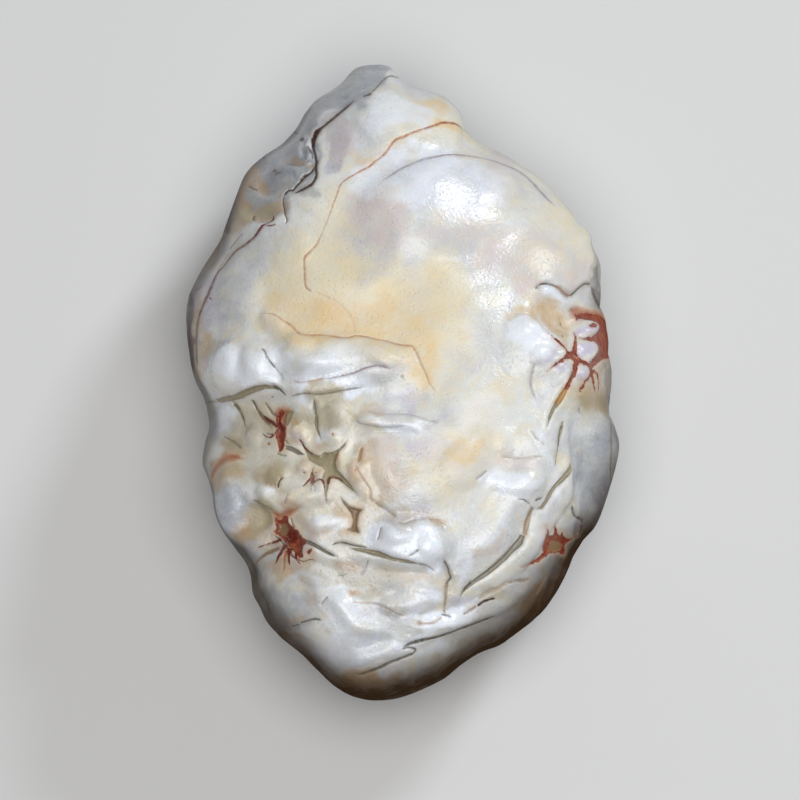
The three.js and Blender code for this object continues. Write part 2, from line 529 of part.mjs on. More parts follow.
// Turns the diagonal between two facets wherever the other one lies closer to the surface
function turnDiagonals(facets, points, directions) {
  const quads = new Map();
  facets.forEach((facet, index) =>
    facet.forEach((a, k) => {
      const b = facet[(k + 1) % 3];
      const name = a < b ? `${a}_${b}` : `${b}_${a}`;
      if (!quads.has(name)) quads.set(name, []);
      quads.get(name).push({ a, b, index, tip: facet[(k + 2) % 3] });
    }),
  );
  const used = new Set();
  const miss = (a, b) => {
    const middle = directions[a].clone().add(directions[b]).normalize();
    return points[a].clone().add(points[b]).divideScalar(2).distanceTo(surfacePoint(middle));
  };
  const sound = (a, b, c) => {
    const across = points[b].clone().sub(points[a]).cross(points[c].clone().sub(points[a]));
    const longest = Math.max(
      points[a].distanceTo(points[b]),
      points[b].distanceTo(points[c]),
      points[c].distanceTo(points[a]),
    );
    return across.length() > 0.3 * longest ** 2 && across.dot(points[a]) > 0;
  };
  for (const [first, second] of quads.values()) {
    if (used.has(first.index) || used.has(second.index)) continue;
    if (directions[first.a].z < 0.02) continue;
    const { a, b, tip } = first;
    if (!sound(a, second.tip, tip) || !sound(b, tip, second.tip)) continue;
    if (quads.has(tip < second.tip ? `${tip}_${second.tip}` : `${second.tip}_${tip}`)) continue;
    if (miss(tip, second.tip) >= 0.8 * miss(a, b)) continue;
    facets[first.index] = [a, second.tip, tip];
    facets[second.index] = [b, tip, second.tip];
    used.add(first.index).add(second.index);
  }
}

function stoneGeometry() {
  const ball = new THREE.IcosahedronGeometry(1, 10);
  ball.deleteAttribute("normal");
  ball.deleteAttribute("uv");
  const merged = mergeVertices(ball, 1e-5);
  const place = merged.getAttribute("position");
  let net = {
    directions: Array.from({ length: place.count }, (_, i) =>
      new THREE.Vector3().fromBufferAttribute(place, i).normalize(),
    ),
    facets: Array.from({ length: merged.index.count / 3 }, (_, i) =>
      [0, 1, 2].map((k) => merged.index.getX(3 * i + k)),
    ),
  };
  for (let i = 0; i < REFINE_ROUNDS; i++) net = refined(net.directions, net.facets);
  const directions = settled(net.directions, net.facets);
  const points = directions.map(surfacePoint);
  for (let i = 0; i < 3; i++) turnDiagonals(net.facets, points, directions);

  const floor = -(BACK_DEPTH - FLAT_SPOT_CUT);
  const box = new THREE.Box3().setFromPoints(points);
  const middle = box.getCenter(new THREE.Vector3()).setZ(floor);
  const placed = points.map((p) => p.setZ(Math.max(p.z, floor)).sub(middle));
  const geometry = new THREE.BufferGeometry()
    .setAttribute("position", new THREE.Float32BufferAttribute(placed.flatMap((p) => [...p]), 3))
    .setIndex(net.facets.flat());
  geometry.computeVertexNormals();
  return geometry;
}

const agate = new THREE.MeshStandardMaterial({ color: 0xd9d2c4, roughness: 0.32, metalness: 0 });
const pebble = new THREE.Mesh(stoneGeometry(), agate);
pebble.name = "agate_pebble";

const stone = new THREE.Group();
stone.add(pebble);

export default stone;
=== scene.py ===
"""An agate pebble that lies on its back on a pale floor, under soft studio light."""

import math
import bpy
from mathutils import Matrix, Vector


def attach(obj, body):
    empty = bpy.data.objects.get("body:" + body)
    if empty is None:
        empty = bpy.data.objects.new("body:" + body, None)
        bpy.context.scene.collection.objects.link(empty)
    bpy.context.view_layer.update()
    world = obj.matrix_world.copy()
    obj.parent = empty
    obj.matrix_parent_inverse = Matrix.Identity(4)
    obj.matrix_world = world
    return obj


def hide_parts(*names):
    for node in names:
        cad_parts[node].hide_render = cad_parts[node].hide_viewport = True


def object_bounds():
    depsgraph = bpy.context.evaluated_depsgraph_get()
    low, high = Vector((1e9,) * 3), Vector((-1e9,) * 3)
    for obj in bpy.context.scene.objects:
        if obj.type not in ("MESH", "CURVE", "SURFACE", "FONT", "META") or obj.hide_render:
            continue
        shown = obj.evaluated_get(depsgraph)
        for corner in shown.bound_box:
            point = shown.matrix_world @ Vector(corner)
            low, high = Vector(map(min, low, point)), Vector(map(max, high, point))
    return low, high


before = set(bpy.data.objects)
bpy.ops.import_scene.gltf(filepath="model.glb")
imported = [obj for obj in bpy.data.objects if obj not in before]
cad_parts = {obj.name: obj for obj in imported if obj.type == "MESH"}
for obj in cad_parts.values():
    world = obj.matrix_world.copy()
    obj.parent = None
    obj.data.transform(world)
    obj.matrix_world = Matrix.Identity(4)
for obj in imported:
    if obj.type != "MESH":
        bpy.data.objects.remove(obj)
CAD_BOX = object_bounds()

from types import SimpleNamespace

import bmesh
import bpy
import numpy as np
from bpy.props import (
    FloatProperty,
    FloatVectorProperty,
    IntProperty,
    PointerProperty,
)
from mathutils import Vector

bl_info = {
    "name": "Agate Pebble",
    "version": (1, 0, 0),
    "blender": (4, 5, 0),
    "location": "View3D > Sidebar > Agate",
    "description": "Makes a folded, iron-stained agate pebble and a small studio for it",
    "category": "Object",
}

MM = 0.001

# The plan is a sheet 80 mm square, looked at along the line of sight that shows the face best.
# A plan point is (x, y) in millimetres from its upper left corner, with y down.
PLAN_CENTRE = (40.2, 38.0)
PLAN_WIDTH = 80.0

# How square the body is from its widest line to its crown and to its lowest point. 2 is round.
FACE_FULLNESS = 2.35
BACK_FULLNESS = 2.15
# The outline's steps round a turn, and over how many of them its short bumps are averaged
RIM_STEPS = 720
RIM_EVENING = 28
# The share of the way out to the widest line at which its short bumps begin
RIM_DETAIL_FROM = 0.72
# How far the widest line waves up and down, in millimetres: two waves to a turn, three and four
RIM_LIFTS = (1.1, 0.8, 0.5)
# How much of the face's relief is left at the widest line
RIM_RELIEF = 0.35

# The lift of a point is the z of its direction from the middle: 1 at the crown of the face, 0
# at the widest line. These are the lifts between which something comes in.
FACE_RELIEF_IN = (-0.3, 0.02)
FULL_RELIEF_IN = (0.02, 0.4)
PLUMB_CUTS_IN = (0.0, 0.35)
FACE_CLOUDS_IN = (-0.5, -0.04)
# The same for the back's relief, by the lift turned downwards
BACK_RELIEF_IN = (-0.02, 0.4)
# The lift down to which the net is as fine as the face's
FACE_NET_FROM = -0.12
# How fast the face's blots shrink below the widest line, in millimetres for a lift of -1
BLOT_FADING = 6.0
# The share of the way out to the widest line at which the back's brown edge begins
BACK_SHADE_FROM = 0.35

# How far outside the edge of its cut or blot a lip has its crest, and the spread of the lip,
# in millimetres
CUT_LIP = (0.3, 0.38)
BLOT_LIP = (0.32, 0.3)
# How far outside its edge a cut or a blot is still felt, in millimetres
CUT_REACH = 1.8
BLOT_REACH = 1.6
# The height of its hump, out of 1, at which a clouded oval has its full strength
PATCH_EDGE = 0.8
# The ripples that make the clouds ragged: how far they shift a cloud and how long they are, in
# millimetres, and their seed
CLOUD_RIPPLES = [(0.8, 8.0, 1.0), (0.35, 3.0, 3.0), (0.15, 1.2, 5.0)]
# The distance and half width that are written where no line passes
NO_LINE = (2.0, -1.0)

# An edge of the net is split when it is this many times longer than wanted, in a few rounds.
SPLIT_ABOVE = 1.42
SPLITTING_ROUNDS = 8
# The step in a direction over which the slope of the body is taken
SLOPE_STEP = 0.02

# Painted brown shade along the edge of the face, all the way round, strongest along the lower edge
# and weakest at the upper right, which faces the lights: angle in degrees from the right, width
# in millimetres and strength
EDGE_SHADE = [
    (0, 2.6, 0.45), (20, 1.8, 0.6), (40, 0.6, 0.15), (100, 0.5, 0.1), (120, 0.8, 0.3),
    (140, 1.8, 0.55), (160, 1.6, 0.5), (180, 1.4, 0.6), (200, 1.6, 0.5), (220, 1.8, 0.55),
    (240, 3.4, 0.85), (260, 4.8, 1.0), (280, 5.2, 1.0), (300, 7.6, 1.0), (320, 3.6, 1.0),
    (340, 1.8, 0.5),
]


def numbers(text):
    """Rows of numbers, from a text with commas between its rows."""
    return [tuple(map(float, row.split())) for row in text.split(",")]


# The widest line of the stone as the plan shows it, clockwise from the top
OUTLINE = numbers(
    "36 6.6, 38.5 6.5, 39.5 7.1, 40.3 8.1, 41.5 8.7, 43.2 9.4, 44.8 10.2, 46 11.3, 46.7 12.8, "
    "47.6 13.8, 49.5 15.1, 52 16.9, 54.3 18.4, 55.6 19.8, 57 21.5, 57.9 22.6, 59.2 23.4, "
    "59.7 24.8, 60.3 26, 60.1 28, 60 30.5, 60.5 32.3, 60.9 34.2, 60.9 36, 61.3 37.4, 61.4 39.5, "
    "61 41.2, 61.3 43, 61.6 44.7, 61.4 46.8, 61 49, 60.4 51, 59.6 52.6, 58.4 53.9, 57.4 55.4, "
    "56.6 57.2, 55.3 59.4, 53.6 61.6, 51.6 63.2, 50 64.4, 48 65.2, 46.2 66.2, 44.2 67.5, "
    "42 68.4, 39.5 69.2, 37 69.5, 35 69.2, 33.2 68.2, 31.8 66.8, 30.2 65, 28.5 63.4, 27.1 61.8, "
    "26.4 60.4, 25.6 59, 25.3 57.6, 24.6 56.2, 23.4 54.6, 22.5 53, 21.9 51.6, 21.5 49.7, "
    "20.9 48.3, 20.3 46.8, 20.5 45, 20.8 43, 20.5 41.2, 20.1 39.6, 19.4 38, 19 36.2, 18.7 34, "
    "18.6 32, 18.7 30, 19.1 28.6, 19.9 27, 21 25.5, 21.9 24.2, 22.5 22.4, 23 20.5, 23.6 18.7, "
    "24.5 17.2, 26.3 15.6, 28 14.4, 29.4 12.9, 30.4 11.2, 31.4 9.9, 33 8.8, 34.2 7.9, 35 7.1"
)


def swells(*texts):
    """Rounded swells, and hollows where the rise is negative. A row has the place of the
    middle, two radii, a turn in degrees and a rise in millimetres."""
    return [
        SimpleNamespace(at=(x, y), radii=(wide, tall), turn=turn, rise=rise)
        for text in texts
        for x, y, wide, tall, turn, rise in numbers(text)
    ]


def roll(path, half, rise, soft=1.3, ends=0.25):
    """A rounded fold along a path."""
    return SimpleNamespace(
        path=numbers(path), half=half, rise=rise, soft=soft, ends=(ends, ends), reach=half
    )


def ledge(path, up, down, reach=(2.0, 1.8), edge=0.3, ends=0.2):
    """A step: higher on the left of the path, as one walks along it, and lower on its right."""
    return SimpleNamespace(
        path=numbers(path), up=up, down=down, sides=reach, edge=edge, ends=(ends, ends),
        reach=3 * max(reach),
    )


def cut(kind, path, half, depth, lips=(0.0, 0.0), ink=1.0, ends=(0.15, 0.15)):
    """A crease or vein. Half is its half width, or that of its start and its end."""
    halves = half if isinstance(half, tuple) else (half, half)
    return SimpleNamespace(
        kind=kind, path=numbers(path), halves=halves, depth=depth, lips=lips, ink=ink,
        ends=ends, reach=max(halves) + CUT_REACH,
    )


def arm(kind, path, root, depth, ink=1.0):
    """A spike of a stain or slit: widest at its start and pointed at its end."""
    return cut(kind, path, (root, 0.02), depth, ink=ink, ends=(0.0, 0.1))


def blot(kind, outline, depth, wall=0.3, lip=0.0):
    """A patch with a drawn outline, such as a stained pit or the floor of an open slit."""
    return SimpleNamespace(
        kind=kind, outline=numbers(outline), depth=depth, wall=wall, lip=lip, reach=BLOT_REACH
    )


def patches(tint, text):
    """Clouded ovals of one colour. A row has the place of the middle, two radii, a turn in
    degrees and a strength."""
    return [
        SimpleNamespace(tint=tint, at=(x, y), radii=(wide, tall), turn=turn, ink=ink)
        for x, y, wide, tall, turn, ink in numbers(text)
    ]


def cloud(tint, outline, soft, ink=1.0):
    """A clouded patch of colour with a drawn outline and a soft edge."""
    return SimpleNamespace(tint=tint, outline=numbers(outline), soft=soft, ink=ink)


FACE_SWELLS = swells(
    # the big forms
    "40.6 12.2 6.5 4.4 -20 0.8, 44.8 20.8 11.5 5.6 12 1.3, 35.2 24.4 5.2 5.2 0 -0.5, "
    "41.2 30.2 6 3.6 -20 -0.2, 33 31.6 5.2 2.6 0 -0.3, 54 26.8 4 3 30 0.15, "
    "57.8 25.6 2.6 3.6 0 0.15, 56.4 31.6 4.6 2.8 10 -1, 53.2 34.8 3.8 4.2 -10 0.9, "
    "58.3 45.8 2.6 6.4 3 -0.9, 60.8 44.6 1.8 4.6 0 0.3, 56.6 38.4 3.2 3.2 0 0.4, "
    "24.6 36.9 4.2 3.9 0 1.2, 23.4 37.2 1.5 3 -6 0.5, 26.4 36.6 1.5 2.4 12 0.5, "
    "27.2 43 7.6 4.4 -8 -1.3, 33 44.2 5 3.6 -10 -0.7, 42.5 46.2 7.5 5.4 20 0.7, "
    "46.3 46.6 3.2 2.6 30 0.45, 23.4 50.4 3 5 12 1.1, 29 52.8 3.4 3 -20 -0.9, "
    "41 54 4.4 3 -8 1.5, 37 57.8 7.6 2.4 -6 -0.5, 42 59.6 3 1.7 4 0.5, "
    "33.4 61.4 5.4 3.4 -20 0.7, 48.5 41 5 6 0 0.3",
    # the grey shelf at the top left
    "28.6 17.7 1.9 1.4 0 0.55, 30.2 18 0.7 0.6 0 0.25, 29.6 16.2 1.9 1.1 10 -0.55, "
    "26.6 18.8 1.5 1.3 0 -0.35, 25.8 21.4 2.4 1.3 -20 -0.5, 33.6 9.6 2.4 1 35 0.2",
    # under the brow line
    "27.4 32.4 1.6 1.1 -30 0.3, 30.3 34.6 1.8 1.1 -15 0.35, 33.3 35 1.7 1 0 0.25, "
    "31.6 36.9 2.9 1 3 0.3, 38.2 36 2.4 1.2 -25 0.25",
    # the left socket
    "22.3 42.7 1.4 2 10 0.45, 24.9 43.6 1 1.4 10 0.4, 29.8 43.2 1.3 1 -20 0.6, "
    "30.4 43.3 0.6 0.5 30 0.25, 33.2 43.6 1.2 0.9 -20 0.5, 33.9 41.4 1.3 1.7 0 0.4, "
    "30.2 41 1.2 1.3 0 0.3, 30.5 46.6 0.9 0.7 20 0.35, 28 47.6 1.2 1.5 0 0.3, "
    "26.9 49.1 1 0.5 0 0.35, 29.4 48.7 1.6 0.9 -10 0.3, 36 46.6 1.2 2.6 -12 0.45, "
    "38.4 47 1.4 2.4 15 0.3, 31.8 50 2.4 0.9 18 0.45",
    # the left cheek and chin
    "23.8 50 1.3 3.8 10 0.55, 26 51.8 1.5 1.7 0 -0.65, 26 54.2 1.4 2 25 0.4, "
    "32.6 52.2 2.6 1 14 0.5, 30.6 51.8 0.9 0.7 0 0.3, 32 57.4 2.6 1.2 -20 0.35, "
    "28.6 58.6 1.9 2.4 30 0.35, 36.5 63.7 3.4 1.2 0 -0.25, 42.4 60.6 1.9 0.9 10 -0.3, "
    "39.4 60.4 1.6 1 0 0.35",
    # the mouth knob
    "39.6 53.3 1.7 1.2 0 0.4, 42.9 54.6 1.7 1.4 -30 0.35, 40.8 51.6 2.6 0.8 -5 -0.2, "
    "41 58 4 1.1 -6 0.3",
    # the right side
    "51 48.3 3 1.4 0 0.45, 52.8 33.2 1.3 1 0 0.3, 53.6 36 1.5 1.1 20 0.4, "
    "58.6 33 1.15 1.1 0 0.75, 58.6 35.4 1.2 1.2 0 0.4, 55.6 37.3 0.9 1.1 -30 0.3, "
    "57.7 37.8 0.7 0.8 0 0.25, 57 32.2 1.2 0.8 0 -0.3, 54.8 32.6 1.7 1.4 0 -0.4, "
    "50.8 44.2 2.2 1.6 20 0.3, 56.6 48.4 1.4 3 -25 0.4, 58.6 41 1.1 2 0 0.3, "
    "52.4 54.6 1.4 2.2 -35 0.35",
    # low undulations of the smooth crown
    "38 20.6 2.6 2 20 0.18, 49.6 19.6 3 1.8 20 0.2, 46.2 25.8 3.4 2.2 -10 -0.22, "
    "29.4 25.6 2.8 2.2 60 0.2, 24.2 29.6 2.6 3.2 20 0.3, 45.6 34.6 3 2.4 0 -0.22, "
    "37.4 28.4 2 1.4 0 0.16, 48.6 30.4 2.6 1.8 20 0.18, 41 40 2.2 1.6 0 -0.2",
)

FACE_ROLLS = [
    roll("26.9 33.4, 29.3 35.6, 32.8 36.4, 36.5 36.2, 39.6 37.4, 40.6 39.6", 2.3, 1.1, 1.6),
    roll("28.8 39.1, 31 39.1, 34 38.6, 37 37.9, 39.2 38.2", 0.9, 0.55, 1.0),
    roll("35.4 41.9, 37.6 42.3, 40.5 42.4, 43.2 43.2", 0.95, 0.55, 1.0),
    roll("25 49, 26.6 49.7, 28 50.3, 30.2 49.6, 32.6 48.8, 34.2 48.3", 0.9, 0.55, 1.2),
    roll("53.4 40, 53.4 44, 52.8 47.4, 51 50.6, 48.6 54.4, 46.2 57.2", 2.3, 1.0, 1.6),
    roll("46.2 60.6, 48.6 58.6, 51.4 55.8, 53.4 52.6, 55.4 49.6, 56.6 44", 1.35, 0.7, 1.2),
    roll("40.6 63.1, 44.4 62.1, 48.6 60.6, 51.4 58.6, 54 57.4", 1.2, 0.6, 1.2),
    roll("33.4 58.6, 34.6 60.6, 36.2 62.3, 39.4 62.4", 1.1, 0.6, 1.4),
    roll("32.1 13, 31.5 13.9, 31.1 14.9, 30.9 15.8, 31.1 16.4", 0.38, 0.4, 1.0),
    roll("34.6 45, 34.8 46.8, 36.2 48.2, 36.8 49.6, 36 50.6", 1.1, 0.4, 1.4),
    roll("53.4 29.8, 54.6 29.8, 55.8 30.2, 57 30.6, 58.6 30.4", 0.6, 0.4, 1.0),
    roll("52 24.8, 55 25.8, 56.6 27.4, 57.2 29.2", 1.0, 0.1, 1.3),
    roll("40.8 62.7, 43.6 61.9, 46.4 61.6", 0.6, 0.35, 1.0),
    roll("45.4 56.4, 45.6 58.2, 45.2 60.4", 0.7, 0.35, 1.2),
    roll("34.4 65.8, 37.6 65.2, 40.4 63.9", 0.8, 0.3, 1.2),
    roll("56 42.4, 56.6 45.4, 56.2 48.2", 0.8, 0.4, 1.2),
    roll("53.2 33.9, 54.4 34.3, 55.6 35.3, 55.7 35.9, 54.9 36.5, 54 37.3", 0.4, 0.25, 1.0),
    roll("55.9 36.9, 55.9 38, 55.3 39.4", 0.35, 0.2, 1.0),
    roll("35.2 54.8, 37.2 55.5, 39.2 56.3, 41.4 56.6", 0.7, 0.25, 1.2),
]

FACE_LEDGES = [
    ledge("40 7.8, 39 7.6, 38.2 8.3, 37.2 9.6, 35.2 10.6, 33.8 11.8, 32.4 13.2, 31.5 14.6, "
        "31.6 16.6, 31.5 18.3, 30.6 19.2, 28.8 20.1, 28.6 21.2, 28.7 22.9",
        0.25, 0.3, (2.6, 3.4), 0.3),
    ledge("27.7 22.9, 26.2 23.2, 25.5 24.2, 24 25.3, 22 27.2, 21 29.2, 20.2 31.5, 20 34.5, 20 38",
        0.2, 0.35, (2.2, 2.2)),
    ledge("34.2 19, 36.6 17, 39.3 14.9, 41 14.2, 43 13.5, 45 13, 47.2 13.2",
        0.12, 0.1, (2.4, 1.6), 0.8),
    ledge("57 21.4, 55.4 20.7, 53.5 19, 51.2 17.2, 48.7 16.4, 45.8 16.1, 43.5 16.5, 41 17.3, "
        "38.8 18.4", 0.22, 0.1, (3.6, 1.6), 0.5),
    ledge("26.2 32, 28.5 32.7, 30.2 33.9, 33 33.9, 35.7 33.9, 39 34.7, 41.2 35.3, 42.3 37.2, "
        "43.4 39.4", -0.2, -0.15, (2.0, 1.6), 0.5),
    ledge("20.6 40.4, 22.2 40.2, 23.6 40.1, 25 39.5, 26.4 39, 27.8 39, 29 39.8",
        0.2, 0.25, (1.8, 2.2), 0.3),
    ledge("28.6 39.9, 31 39.8, 33 39.6, 35 39.2, 37.6 38.6", 0.12, 0.18, (1.2, 1.8), 0.3, 0.15),
    ledge("35.2 42.2, 37 42.9, 39.2 43.1, 41.4 43.2", 0.15, 0.2, (1.0, 1.8)),
    ledge("24.8 49.8, 26.5 50.5, 27.8 51.3, 29.2 51, 31 50.5, 33.6 49.8",
        0.2, 0.25, (1.2, 1.6), 0.4),
    ledge("53 29.8, 53.8 29, 54.8 29, 55.8 29.4, 57.2 29.8, 57.9 29, 58.7 28.7, 59.3 29.7, "
        "60.2 31.4", 0.25, 0.3, (2.0, 1.6), 0.35),
    ledge("33 54.6, 34.4 54.1, 36 54.5, 38.5 55.1, 40.5 55.9, 42.5 56.4, 43.6 57.2",
        0.2, 0.2, (1.6, 1.8), 0.3),
    ledge("43.5 55.4, 44.2 56, 44.8 57.3, 44.4 58.4, 44.5 60.2, 44.3 61.3", 0.25, 0.2, (1.6, 1.4)),
    ledge("57.8 54.4, 57.8 52.6, 57 51.6, 56.8 50.8", 0.35, 0.35, (1.6, 1.4)),
    ledge("26.8 35.2, 27.2 35.6, 27.7 36.4, 28 37.2, 28.5 38.2", -0.2, -0.2, (1.0, 1.6), 0.25),
    ledge("41.3 61.9, 42.6 61.9, 44 61.3, 45 61.3", 0.2, 0.2, (1.0, 1.0)),
    ledge("51.8 57.7, 50 58, 48.6 59, 47.2 60.2, 46.2 61", 0.2, 0.25, (1.2, 1.2), 0.3),
]

